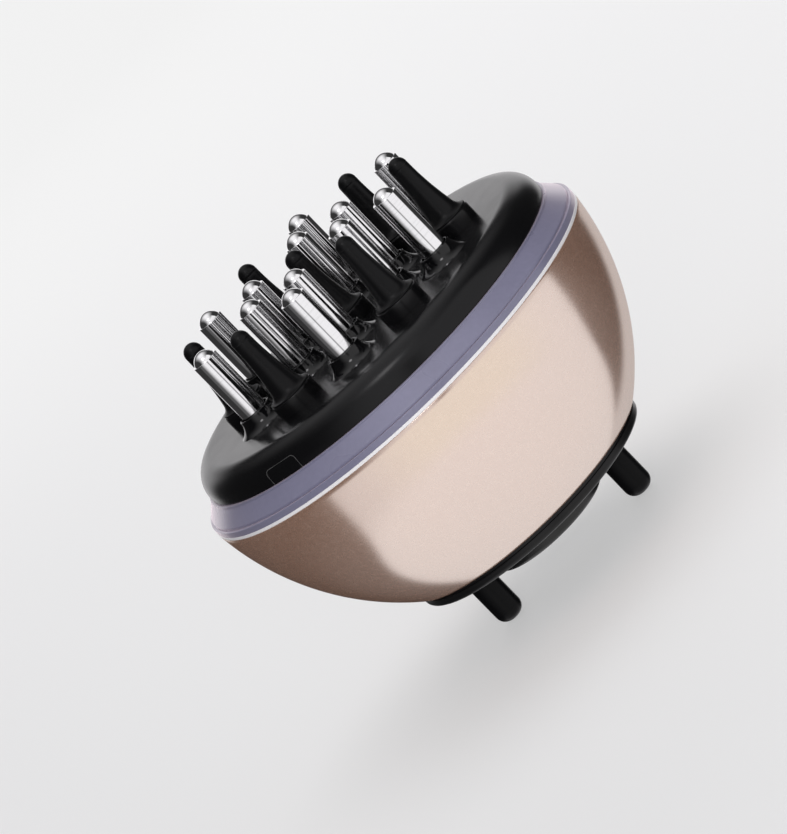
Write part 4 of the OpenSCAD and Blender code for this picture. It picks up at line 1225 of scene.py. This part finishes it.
bowl_centre = arc_centre((rim_r, rim_z), (FOOT_R, foot_z), BOWL_ARC_R)
bowl_inputs = {
    "Arc Radius": BOWL_ARC_R,
    "Centre Radius": bowl_centre.x,
    "Centre Height": bowl_centre.y,
    "Rim Height": rim_z,
    "Foot Height": foot_z,
    "Material": MATERIALS["champagne_shell"],
}
bowl = grown_piece("bowl", grow("bowl", BOWL_TREE, **bowl_inputs), "champagne_shell")
wall = bowl.modifiers.new("wall", "SOLIDIFY")
wall.thickness = BOWL_WALL * MM
wall.offset = -1
edges = bowl.modifiers.new("edges", "BEVEL")
edges.width = BOWL_EDGE * MM
edges.segments = BOWL_EDGE_STEPS
edges.limit_method = "ANGLE"
applied(bowl)
settle(bowl, "housing", "champagne_shell", "body_shell")

# %% [markdown]
# Above the rim comes a thin white trim ring, then a lavender ring that the LEDs light from
# inside. Each has a lip that drops into the part below and centres it. The CAD model has one
# solid where the finished object shows a white line with a lavender band above it, so the trim
# ring stops at the top of the white line. A tube with bevelled edges would do for a plain ring,
# but a section can have a lip, and a rounding of its own at each corner.

# %% Trim ring
TRIM_IN_R = 41.9
LIP, TRIM_LIP_W = 1.2, 1.7
WHITE_LINE = 0.65
white_z = rim_z + WHITE_LINE

trim = turned(
    "trim",
    [
        (TRIM_IN_R, rim_z - LIP, 0.2),
        (TRIM_IN_R + TRIM_LIP_W, rim_z - LIP, 0.2),
        (TRIM_IN_R + TRIM_LIP_W, rim_z, 0.1),
        (rim_r, rim_z, 0.12),
        (rim_r, white_z, 0.1),
        (TRIM_IN_R, white_z, 0.1),
    ],
    "white_trim",
)
settle(trim, "housing", "white_trim", "trim_ring")

# %% [markdown]
# The band above the white line is a skirt in the colour of the light, set back by a hair, so
# that a fine line parts it from its neighbours. The light ring on it leans in like a shallow
# cone, with a short upright edge below and above. The fine line could be a dark stripe in the
# material, but a real step is lit rightly from every side.

# %% Light ring and its skirt
LIGHT_TOP_R, LIGHT_IN_R = 42.8, 40.6
LIGHT_EDGE, LIGHT_LIP_W = 0.45, 1.1
SKIRT_FOOT_STEP, SKIRT_TOP_STEP, SKIRT_GAP = 0.04, 0.06, 0.02

skirt = turned(
    "light_skirt",
    [
        (TRIM_IN_R, white_z, 0.1),
        (rim_r - SKIRT_FOOT_STEP, white_z, 0.08),
        (rim_r - SKIRT_TOP_STEP, trim_z - SKIRT_GAP, 0.16),
        (TRIM_IN_R, trim_z - SKIRT_GAP, 0.1),
    ],
    "light_ring",
)
settle(skirt, "housing", "light_ring")

light = turned(
    "light_lens",
    [
        (LIGHT_IN_R, trim_z - LIP, 0.1),
        (LIGHT_IN_R + LIGHT_LIP_W, trim_z - LIP, 0.1),
        (LIGHT_IN_R + LIGHT_LIP_W, trim_z, 0.1),
        (light_r, trim_z, 0.1),
        (light_r, trim_z + LIGHT_EDGE, 0.18),
        (LIGHT_TOP_R, light_z - LIGHT_EDGE, 0.25),
        (LIGHT_TOP_R, light_z, 0.15),
        (LIGHT_IN_R, light_z, 0.1),
    ],
    "light_ring",
)
settle(light, "housing", "light_ring", "light_ring")

# %% [markdown]
# ## The head cover
#
# The cover is a shallow black dish turned upside down. Its shoulder is one wide arc, and the
# flat face carries the pin field: one rubber pin in the middle, six caps in the first ring, and
# caps and rubber pins by turns in the second. The places are worked out here once, by the same
# rule as in the pin field's tree.

# %% Pin field
COVER_R = 42.3
COVER_H = 5.8
COVER_WALL = 2.0
PITCH = 13.06
FIELD_TURN = math.radians(-12)
PER_RING = 6
face_z = light_z + COVER_H


def field_places(rings, half_step):
    """Middles of the pins of one kind, as the pin field's tree places them."""
    places = []
    for ring in rings:
        for i in range(PER_RING):
            turn = (i + half_step) * 2 * math.pi / PER_RING + FIELD_TURN
            places.append((ring * PITCH * math.cos(turn), ring * PITCH * math.sin(turn)))
    return places


cap_places = field_places((1, 2), 0.5)
pin_places = [(0.0, 0.0)] + field_places((2,), 0.0)
print(f"{len(cap_places)} caps and {len(pin_places)} rubber pins, {PITCH} mm apart")

# %% [markdown]
# Holes are cut as in a workshop: a tool has the shape of the hole, goes in and is taken away
# again. A Boolean does that in one step for all holes of a piece. The tools are rods for round
# holes and a prism for the charging port, which runs out through the skirt along a radius.

# %% Cutting tools
ROD_SEGMENTS = 48


def rod(bm, radius, low, high, place):
    """Adds an upright rod."""
    corners = [(0, low), (radius, low), (radius, high), (0, high)]
    turn_section(bm, corners, ROD_SEGMENTS, False, place)


def radial_axes(turn):
    """The directions along and across a radius."""
    along = Vector((math.cos(turn), math.sin(turn), 0))
    return along, Vector((-along.y, along.x, 0))


def prism(bm, outline, start, end, turn):
    """Adds an upright outline in the plane across a radius, carried out along that radius."""
    along, across = radial_axes(turn)
    rings = []
    for reach in (start, end):
        places = [along * reach + across * p[0] + Vector((0, 0, p[1])) for p in outline]
        rings.append([bm.verts.new(place) for place in places])
    count = len(outline)
    for i in range(count):
        j = (i + 1) % count
        bm.faces.new([rings[0][i], rings[0][j], rings[1][j], rings[1][i]])
    bm.faces.new(rings[0])
    bm.faces.new(rings[1])


def cut(piece, tool_mesh, operation="DIFFERENCE"):
    """Cuts a piece with a tool mesh and removes the tool."""
    tool = show(piece.name + ".tool", tool_mesh)
    boolean = piece.modifiers.new("cut", "BOOLEAN")
    boolean.operation = operation
    boolean.solver = "EXACT"
    boolean.object = tool
    applied(piece)
    bpy.data.objects.remove(tool)
    piece.data.set_sharp_from_angle(angle=SHARP_ANGLE)
    return piece


print("tools: rods and prisms")

# %% [markdown]
# The charging port opens through the skirt, between the cover's edge and its shoulder. Its slot
# and its plug share one outline, straight at the sides and round at the top corners. The slot's
# outline is grown by the gap between them and runs out through the cover's edge.

# %% Port outline
PORT_TURN = math.radians(-132)
PLUG_W, PLUG_H, PLUG_CORNER = 7.9, 2.9, 0.9
PLUG_STEPS = 6
PLUG_GAP, PLUG_FOOT_GAP = 0.15, 0.05
plug_low = light_z + PLUG_FOOT_GAP


def plug_outline(grown, low):
    """Outline of the port's plug, grown by a gap on its sides and top."""
    half = PLUG_W / 2 + grown
    top = plug_low + PLUG_H + grown
    corner = PLUG_CORNER + grown
    right = arc((half - corner, top - corner), corner, 0, 90, PLUG_STEPS)
    left = arc((corner - half, top - corner), corner, 90, 180, PLUG_STEPS)
    return [(-half, low), (half, low)] + right + left


print(f"port plug {PLUG_W} by {PLUG_H} mm")

# %% [markdown]
# The dish is turned from one open section that starts and ends on the axis: down inside, round
# the rim and up over the shoulder. Its wide face gets a few rings of its own, so that its
# smooth shading stays flat between the holes. Then the guide holes, the holes for the rubber
# pins and the charging port are cut. The collars and sockets that follow cover the holes' edges.

# %% Cover dish
SHOULDER_R = 4.9
SHOULDER_STEPS = 20
FACE_RINGS = (33.0, 26.0, 13.0)
DISH_SEGMENTS = 192
GUIDE_HOLE_R, PEG_HOLE_R = 2.2, 2.55
HOLE_BELOW, HOLE_ABOVE = 4, 2  # how far a rod reaches below and above the face
PORT_INWARDS, PORT_OUTWARDS, PORT_BELOW = 4, 1, 1  # how far the port's tool reaches past the wall


def cover_section():
    """The dish's outside, from its rim to the axis, and its inside, from the axis back."""
    shoulder = (COVER_R - SHOULDER_R, face_z - SHOULDER_R)
    outside = arc(shoulder, SHOULDER_R, 0, 90, SHOULDER_STEPS)
    inside = arc(shoulder, SHOULDER_R - COVER_WALL, 90, 0, SHOULDER_STEPS // 2)
    face = [(r, face_z) for r in FACE_RINGS]
    edge = [(COVER_R - COVER_WALL, light_z, 0.1), (COVER_R, light_z, 0.15)]
    return edge + outside + face + [(0, face_z)], [(0, face_z - COVER_WALL)] + inside


def cover_dish():
    outside, inside = cover_section()
    bm = bmesh.new()
    rim = section([(*inside[-1], 0.0)] + outside, closed=False)
    turn_section(bm, inside[:-1] + rim, DISH_SEGMENTS, closed=False)
    return show("cover", finish_mesh(bm, "cover", "black_cover"))


def cover_tools():
    bm = bmesh.new()
    for places, radius in ((cap_places, GUIDE_HOLE_R), (pin_places, PEG_HOLE_R)):
        for place in places:
            rod(bm, radius, face_z - HOLE_BELOW, face_z + HOLE_ABOVE, place)
    port = plug_outline(PLUG_GAP, light_z - PORT_BELOW)
    prism(bm, port, COVER_R - PORT_INWARDS, COVER_R + PORT_OUTWARDS, PORT_TURN)
    return finish_mesh(bm, "tools", "black_cover")


cover = cut(cover_dish(), cover_tools())
settle(cover, "housing", "black_cover", "head_cover")

# %% [markdown]
# A flared collar stands round each cap like the bell of a small trumpet, and its curve runs
# out flat on the face. A rubber pin stands in a plain raised socket. Both are moulded with the
# cover, so the real part shows no seam: here they reach a little into the face. There are
# twelve collars and six outer sockets, all alike, so one of each is turned and the tree
# repeats it. The socket in the middle stands alone and is turned in its place.

# %% Collars and sockets
COLLAR_BORE_R, COLLAR_TOP_R, COLLAR_FOOT_R, COLLAR_H = 3.0, 3.5, 5.5, 2.8
SOCKET_R, SOCKET_H = 4.65, 2.9
LAP = 0.4  # how deep a collar or a socket reaches into the face
FLARE_STEPS = 12
COLLAR_SEGMENTS, MIDDLE_SEGMENTS = 48, 64


def collar_section():
    """Half a collar's section: upright at its lip, it flares until it runs out on the face."""
    reach = COLLAR_FOOT_R - COLLAR_TOP_R
    radius = (reach**2 + COLLAR_H**2) / (2 * reach)
    sweep = math.degrees(math.asin(COLLAR_H / radius))
    lip_z = face_z + COLLAR_H
    flare = arc((COLLAR_TOP_R + radius, lip_z), radius, 180 + sweep, 180, FLARE_STEPS)
    lip = [(COLLAR_TOP_R, lip_z, 0.16), (COLLAR_BORE_R, lip_z, 0.14)]
    foot = [(COLLAR_BORE_R, face_z - LAP), (COLLAR_FOOT_R, face_z - LAP)]
    return foot + flare[:-1] + lip


def socket_section():
    return [
        (PEG_HOLE_R, face_z - LAP),
        (SOCKET_R, face_z - LAP),
        (SOCKET_R, face_z + SOCKET_H, 0.35),
        (PEG_HOLE_R, face_z + SOCKET_H, 0.1),
    ]


def grow_over_field(name, corners, material, rings, half_step):
    """Makes one turned copy and repeats it over some rings of the pin field."""
    one = turned(name + ".one", corners, material, COLLAR_SEGMENTS)
    settings = {"Pitch": PITCH * MM, "Turn": FIELD_TURN, "Per Ring": PER_RING, "Piece": one}
    settings |= {"First Ring": rings[0], "Rings": len(rings), "Half Step": half_step}
    mesh = grow(name, PIN_FIELD_TREE, **settings, Material=MATERIALS[material])
    bpy.data.objects.remove(one)
    return grown_piece(name, mesh, material, scale=1 / MM)


collars = grow_over_field("cap_collars", collar_section(), "black_collar", (1, 2), 0.5)
settle(collars, "housing", "black_cover")
sockets = grow_over_field("pin_sockets", socket_section(), "black_cover", (2,), 0.0)
settle(sockets, "housing", "black_cover")
middle_socket = turned("middle_socket", socket_section(), "black_cover", MIDDLE_SEGMENTS)
settle(middle_socket, "housing", "black_cover")

# %% [markdown]
# The charging port is closed by a flush plug, which reads as a thin seam in the cover's skirt.
# It is cut from the same turned form as the cover, so that its face carries on the curve. A
# flat tongue behind it goes into the charging socket and holds it there.

# %% Port plug
TONGUE_L, TONGUE_W, TONGUE_T = 5.2, 6.5, 1.7
TONGUE_LAP = 0.6  # how far the tongue reaches into the plug
BLANK_TOP = 1.5  # the blank that the plug is cut from ends this far below the face
BLANK_INWARDS = 6


def plug_blank():
    """A ring with the outside of the cover's skirt."""
    outside, _ = cover_section()
    top_z, inner_r = face_z - BLANK_TOP, COVER_R - COVER_WALL
    skirt = [p[:2] for p in outside[1:] if p[1] < top_z]
    bm = bmesh.new()
    corners = [(inner_r, light_z)] + skirt + [(inner_r, top_z)]
    turn_section(bm, corners, DISH_SEGMENTS, True)
    return show("port_cover", finish_mesh(bm, "port_cover", "black_cover"))


def port_plug():
    bm = bmesh.new()
    outline = plug_outline(0, plug_low)
    prism(bm, outline, COVER_R - BLANK_INWARDS, COVER_R + PORT_OUTWARDS, PORT_TURN)
    plug = cut(plug_blank(), finish_mesh(bm, "tools", "black_cover"), "INTERSECT")
    bm = bmesh.new()
    middle, inner_r = plug_low + PLUG_H / 2, COVER_R - COVER_WALL
    corners = [(-1, -1), (1, -1), (1, 1), (-1, 1)]
    tongue = [(x * TONGUE_W / 2, middle + y * TONGUE_T / 2) for x, y in corners]
    prism(bm, tongue, inner_r - TONGUE_L, inner_r + TONGUE_LAP, PORT_TURN)
    return cut(plug, finish_mesh(bm, "tools", "black_cover"), "UNION")


settle(port_plug(), "port_plug", "black_plastic", "port_plug")

# %% [markdown]
# A fine bead of seal rubber runs round the plug's top and sides, in its seam. Its grey is a
# painted highlight: it stands for the thin line of light that the seam's edges catch. It is a
# thin tube: a closed ring of points stands at every place of the plug's outline, square to the
# way the outline runs, and neighbouring rings are joined.

# %% Port seam bead, a painted highlight
HIGHLIGHT_BEAD_R, HIGHLIGHT_BEAD_SIDES = 0.075, 8


def skirt_radius(height):
    """Outside radius of the cover at a height below its face."""
    rise = max(0.0, height - (face_z - SHOULDER_R))
    return COVER_R - SHOULDER_R + math.sqrt(SHOULDER_R**2 - rise**2)


# A grey bead in the seam: a painted highlight for the edges of the plug and its slot.
def port_lip():
    along, across = radial_axes(PORT_TURN)
    route = []
    outline = plug_outline(PLUG_GAP / 2, plug_low)
    for sideways, height in outline[1:] + outline[:1]:
        reach = math.sqrt(skirt_radius(height) ** 2 - sideways**2)
        route.append(along * reach + across * sideways + Vector((0, 0, height)))
    bm = bmesh.new()
    rings = []
    for i, point in enumerate(route):
        way = (route[min(i + 1, len(route) - 1)] - route[max(i - 1, 0)]).normalized()
        beside = way.cross(along).normalized()
        out = beside.cross(way)
        places = [point + beside * u + out * v for u, v in circle(HIGHLIGHT_BEAD_R, HIGHLIGHT_BEAD_SIDES)]
        rings.append([bm.verts.new(place) for place in places])
    for low, high in zip(rings, rings[1:]):
        for k in range(HIGHLIGHT_BEAD_SIDES):
            n = (k + 1) % HIGHLIGHT_BEAD_SIDES
            bm.faces.new([low[k], low[n], high[n], high[k]])
    bm.faces.new(rings[0])
    bm.faces.new(rings[-1])
    return show("port_lip", finish_mesh(bm, "port_lip", "seal_rubber"))


# Its seal grey is a painted highlight along the port's seam.
settle(port_lip(), "port_plug", "seal_rubber")

# %% [markdown]
# ## Caps and rubber pins
#
# A cap is a thin metal tube with a domed end. A stem inside it runs down through the guide post
# and ends in a riveted foot, which stops the cap at rest; the section below draws the cap, its
# bore and its stem as one outline that starts and ends on the axis. A cylinder with half a
# sphere on it would be quicker, but it has no bore, and no small ledge under the dome. Each cap
# rides on its own body, so that it moves with its own joint.

# %% Massage caps
CAP_R, CAP_LEDGE = 2.7, 0.4
CAP_BORE_R, CAP_ROOF = 2.2, 1.4
STEM_R, STEM_FOOT_R, STEM_FOOT_T = 0.8, 1.5, 0.8
CAP_RISE, CAP_L = 2.7, 13.4  # how high the tube starts above the face, and its length
DOME_STEPS = 16
CAP_SEGMENTS = 72


def cap_section():
    open_z = face_z + CAP_RISE
    ledge_z = open_z + CAP_L
    base_r, dome_h = CAP_R - CAP_LEDGE, cap_high.z - ledge_z
    dome_r = (base_r**2 + dome_h**2) / (2 * dome_h)
    dome_z = cap_high.z - dome_r
    start = math.degrees(math.asin((ledge_z - dome_z) / dome_r))
    ceiling = ledge_z - CAP_ROOF
    end_z, shoulder_z = cap_low.z, cap_low.z + STEM_FOOT_T
    stem = [(0, end_z), (STEM_FOOT_R, end_z, 0.2), (STEM_FOOT_R, shoulder_z, 0.2)]
    stem += [(STEM_R, shoulder_z), (STEM_R, ceiling), (CAP_BORE_R, ceiling)]
    tube = [(CAP_BORE_R, open_z, 0.08), (CAP_R, open_z, 0.12), (CAP_R, ledge_z, 0.1)]
    dome = arc((0, dome_z), dome_r, start, 90, DOME_STEPS)
    return stem + tube + dome[:-1] + [(0, cap_high.z)]


for i, place in enumerate(cap_places):
    name = f"cap_{i + 1:02d}"
    corners = cap_section()
    cap = turned("metal_" + name, corners, "chrome_cap", CAP_SEGMENTS, place, closed=False)
    settle(cap, name, "chrome_cap", name)

# %% [markdown]
# A rubber pin flares into a bell where it meets its socket and tapers to a round tip. It is
# moulded in one piece with the peg that holds it under the cover. Its outline is a chain of
# arcs that meet without a kink: each arc starts with the lean that the one before ends with. A
# spline would be quicker to draw, but arcs can be measured and made.

# %% Rubber pins
BELL_R, BELL_H, BELL_LIP = 4.5, 1.75, 0.25
NECK_R, TAPER_L, TIP_R = 3.05, 11.3, 1.95
TIP_LINE = 0.05  # depth of the fine line where the round tip starts
PEG_R, PEG_HEAD_R, PEG_HEAD_T = 2.5, 3.3, 1.0
BELL_STEPS, SIDE_STEPS = 10, 14
PIN_SEGMENTS = 64


def rubber_section():
    base = face_z + SOCKET_H
    neck_z, tip_z = base + BELL_H, base + BELL_H + TAPER_L
    narrowing = NECK_R - TIP_R
    side_r = (TAPER_L**2 + narrowing**2) / (2 * narrowing)
    lean = math.asin(TAPER_L / side_r)
    sweep = 2 * math.atan((BELL_R - NECK_R) / (BELL_H - BELL_LIP)) - lean
    flare_r = (BELL_H - BELL_LIP) / (math.sin(sweep) - math.sin(lean))
    flare_middle = (NECK_R + flare_r * math.cos(lean), neck_z + flare_r * math.sin(lean))
    start, turn = 180 + math.degrees(sweep), 180 + math.degrees(lean)
    flare = arc(flare_middle, flare_r, start, turn, BELL_STEPS)
    side = arc((TIP_R + side_r, tip_z), side_r, turn, 180, SIDE_STEPS)
    line = [(TIP_R, tip_z - 4 * TIP_LINE), (TIP_R - TIP_LINE, tip_z - 2 * TIP_LINE)]
    tip = arc((0, tip_z), TIP_R, 0, 90, DOME_STEPS)
    under = face_z - COVER_WALL
    head = under - PEG_HEAD_T
    peg = [(0, head), (PEG_HEAD_R, head, 0.2), (PEG_HEAD_R, under, 0.2)]
    peg += [(PEG_R, under), (PEG_R, base), (BELL_R, base, 0.08)]
    bell = [(*flare[0], 0.1)] + flare[1:]
    return peg + bell + side[1:-1] + line + tip[:-1] + [(0, tip_z + TIP_R)]


for i, place in enumerate(pin_places):
    name, corners = f"soft_pin_{i + 1}", rubber_section()
    pin = turned(name, corners, "pin_rubber", PIN_SEGMENTS, place, closed=False)
    settle(pin, "housing", "pin_rubber", f"rubber_pin_{i + 1}")

# %% [markdown]
# ## The base
#
# A black plate closes the foot of the bowl. It holds the power button in its middle and a
# finger post on either side of that. A fine step at its top parts it from the bowl with a line
# of shadow, as a maker does to hide that two parts never meet exactly. The screws sit in
# counterbores and the posts in shallow recesses. These lie off the axis and can't be part of a
# turned section, so they are cut afterwards.

# %% Base plate
BUTTON_HOLE_R = 13.3
PLATE_EDGE = 0.7
SHADOW_GAP, SHADOW_DEPTH = 0.8, 0.35  # a fine step that parts the plate from the bowl
SCREW_CIRCLE_R, SCREW_ANGLES = 21.5, (66, 114, 246, 294)
COUNTERBORE_R, COUNTERBORE = 1.95, 1.2
POST_X, POST_RECESS_R, POST_RECESS = 17.0, 3.3, 0.4
TOOL_START = 1  # how far below the plate a rod starts

plate = turned(
    "bottom_plate",
    [
        (BUTTON_HOLE_R, plate_z, 0.2),
        (plate_r, plate_z, PLATE_EDGE),
        (plate_r, foot_z - SHADOW_GAP, 0.15),
        (plate_r - SHADOW_DEPTH, foot_z - SHADOW_GAP, 0.05),
        (plate_r - SHADOW_DEPTH, foot_z),
        (BUTTON_HOLE_R, foot_z, 0.1),
    ],
    "black_base",
)


def plate_tools():
    """Counterbores for the four base screws and recesses for the two posts."""
    bm = bmesh.new()
    holes = [(SCREW_CIRCLE_R, angle, COUNTERBORE_R, COUNTERBORE) for angle in SCREW_ANGLES]
    holes += [(POST_X, angle, POST_RECESS_R, POST_RECESS) for angle in (0, 180)]
    for distance, angle, radius, depth in holes:
        turn = math.radians(angle)
        place = (distance * math.cos(turn), distance * math.sin(turn))
        rod(bm, radius, plate_z - TOOL_START, plate_z + depth, place)
    return finish_mesh(bm, "tools", "black_base")


cut(plate, plate_tools())
settle(plate, "housing", "black_base", "base_plate")

# %% [markdown]
# The power button is a wide, softly crowned disc, so that a thumb finds it without looking. The
# crown is part of a large ball and meets a small edge rounding without a kink, which needs the
# two arcs' centres and their common tangent. A sphere pressed flat would be quicker, but its
# curve gets tighter all the way out, and a highlight shows that. It is hollow, and a flange
# inside keeps it from falling out.

# %% Power button
BUTTON_R, BUTTON_CROWN_R, BUTTON_EDGE = 13.2, 68.0, 0.8
BUTTON_WALL, BUTTON_ROOF = 1.6, 3.0
FLANGE_R, FLANGE_T = 14.1, 1.2
CROWN_STEPS, EDGE_STEPS = 14, 8


def button_section():
    crown = (0, button_z + BUTTON_CROWN_R)
    corner_x = BUTTON_R - BUTTON_EDGE
    corner_z = crown[1] - math.sqrt((BUTTON_CROWN_R - BUTTON_EDGE) ** 2 - corner_x**2)
    meet = math.degrees(math.atan2(corner_z - crown[1], corner_x))
    face = arc(crown, BUTTON_CROWN_R, -90, meet, CROWN_STEPS)
    edge = arc((corner_x, corner_z), BUTTON_EDGE, meet, 0, EDGE_STEPS)
    ceiling, inner_r = button_z + BUTTON_ROOF, BUTTON_R - BUTTON_WALL
    flange = [(BUTTON_R, flange_z - FLANGE_T), (FLANGE_R, flange_z - FLANGE_T, 0.1)]
    inside = [(FLANGE_R, flange_z, 0.1), (inner_r, flange_z, 0.1), (inner_r, ceiling)]
    return [(0, button_z)] + face[1:] + edge[1:] + flange + inside + [(0, ceiling)]


button = turned("round_button", button_section(), "black_button", closed=False)
settle(button, "power_button", "black_button", "power_button")

# %% [markdown]
# Two round-ended posts stand on either side of the button and keep the hand on the bowl. A
# spigot goes through the plate and takes a screw from inside, and a step round it sits in the
# recess. Each post is turned about its own axis, which is read from the box of its CAD node.
# One post could be copied instead, but then a change of one in the CAD model would go unseen.

# %% Finger posts
POST_END_R, POST_END_STEPS = 2.2, 12
POST_SEAT_R, POST_SPIGOT_R = 2.6, 1.9
POST_SEGMENTS = 96


def post_section(low, high):
    post_r = (high.x - low.x) / 2
    end_middle = (post_r - POST_END_R, low.z + POST_END_R)
    end = arc(end_middle, POST_END_R, -90, 0, POST_END_STEPS)
    seat_z = plate_z + POST_RECESS
    seat = [(post_r, plate_z, 0.1), (POST_SEAT_R, plate_z), (POST_SEAT_R, seat_z)]
    spigot = [(POST_SPIGOT_R, seat_z), (POST_SPIGOT_R, high.z), (0, high.z)]
    return [(0, low.z)] + end + seat + spigot


for name, node in (("post_left", "finger_post_left"), ("post_right", "finger_post_right")):
    low, high = box_mm(node)
    corners, place = post_section(low, high), ((low.x + high.x) / 2, 0)
    post = turned(name, corners, "black_post", POST_SEGMENTS, place, closed=False)
    settle(post, "housing", "black_post", node)

# %% [markdown]
# ## Springs
#
# Every cap is pushed out by a small compression spring that stands on its guide post, and the
# button by a wider one round its switch. One tree winds them all: it sweeps a round wire along
# a screw line whose end turns lie almost flat, as they do on a spring with closed ends, so that
# it stands square on its seat. A Screw modifier could wind them too, but only with the same
# pitch all along.

# %% The springs' tree


def spring_tree():
    tree, given, made = new_geometry_tree(
        "Coil Spring",
        [
            ("Coil Radius", FLOAT, 1.6),
            ("Wire Radius", FLOAT, 0.2),
            ("Length", FLOAT, 8.0),
            ("Turns", FLOAT, 4.0),
            ("Closed Turns", FLOAT, 0.75),
            ("Flat Pitch", FLOAT, 0.12),
            ("Seat", "NodeSocketVector", None),
            ("Steps Per Turn", WHOLE, 28),
            ("Sides", WHOLE, 10),
            ("Material", PAINT, None),
        ],
    )
    turns, wire = given.outputs["Turns"], given.outputs["Wire Radius"]
    line = add_node(
        tree,
        "GeometryNodeCurveSpiral",
        Resolution=given.outputs["Steps Per Turn"],
        Rotations=turns,
        Start_Radius=given.outputs["Coil Radius"],
        End_Radius=given.outputs["Coil Radius"],
        Height=1.0,
    )
    x, y, z = parts_of(tree, add_node(tree, "GeometryNodeInputPosition").outputs[0])
    wound = maths(tree, "MULTIPLY", z, turns)
    closed = given.outputs["Closed Turns"]
    free = maths(tree, "SUBTRACT", turns, maths(tree, "MULTIPLY", closed, 2.0))
    climb = maths(tree, "DIVIDE", maths(tree, "SUBTRACT", wound, closed), free, clamp=True)
    flat = given.outputs["Flat Pitch"]
    steep = maths(tree, "SUBTRACT", 1.0, maths(tree, "MULTIPLY", turns, flat))
    share = maths(tree, "MULTIPLY_ADD", climb, steep, maths(tree, "MULTIPLY", wound, flat))
    rise = maths(tree, "SUBTRACT", given.outputs["Length"], maths(tree, "MULTIPLY", wire, 2.0))
    height = maths(tree, "MULTIPLY_ADD", share, rise, wire)
    lifted = add_node(tree, "ShaderNodeCombineXYZ", X=x, Y=y, Z=height).outputs[0]
    settings = {"operation": "ADD"}
    seat = given.outputs["Seat"]
    seated = add_node(tree, "ShaderNodeVectorMath", settings, i0=lifted, i1=seat).outputs[0]
    screw = add_node(
        tree, "GeometryNodeSetPosition", Geometry=line.outputs[0], Position=seated
    ).outputs[0]
    sides = given.outputs["Sides"]
    profile = add_node(tree, "GeometryNodeCurvePrimitiveCircle", Resolution=sides, Radius=wire)
    swept = add_node(
        tree,
        "GeometryNodeCurveToMesh",
        Curve=screw,
        Profile_Curve=profile.outputs["Curve"],
        Fill_Caps=True,
    )
    dressed(tree, made, swept.outputs[0], given.outputs["Material"])
    return tree


SPRING_TREE = spring_tree()
print("tree:", SPRING_TREE.name, len(SPRING_TREE.nodes), "nodes")

# %% [markdown]
# Each spring is wound to fill the box of its CAD node, and it stands on the low end of that
# box, its seat.

# %% Springs
CAP_SPRING_WIRE, BUTTON_SPRING_WIRE = 0.45, 0.7


def spring(name, node, wire):
    """A coil spring in place of a CAD node, standing on the low end of its box."""
    low, high = box_mm(node)
    middle, length = (low + high) / 2, high.z - low.z
    coil_r = (high.y - low.y - wire) / 2  # the coil fills its box in Y, and touches it at +X
    inputs = {
        "Coil Radius": coil_r,
        "Wire Radius": wire / 2,
        "Length": length,
        "Seat": (high.x - wire / 2 - coil_r, middle.y, low.z),
        "Material": MATERIALS["spring_steel"],
    }
    piece = grown_piece(name, grow(name, SPRING_TREE, **inputs), "spring_steel")
    settle(piece, "housing", "spring_steel", node)
    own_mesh(piece)


for i in range(len(cap_places)):
    number = f"{i + 1:02d}"
    spring(f"coil_{number}", f"cap_spring_{number}", CAP_SPRING_WIRE)
spring("coil_button", "button_spring", BUTTON_SPRING_WIRE)

# %% [markdown]
# ## What stays as CAD made it
#
# What is left inside, such as screws, boards, motor and cell, is already in its true shape. It
# keeps the CAD mesh and takes the finish that the model's record names for it.

# %% Finishes of the CAD parts
slots = {part["node"]: part["material_slot"] for part in frame["record"]["subparts"]}
for node, piece in frame["nodes"].items():
    piece.data.materials.clear()
    piece.data.materials.append(MATERIALS[slots[node]])
print("dressed", len(slots), "CAD nodes")
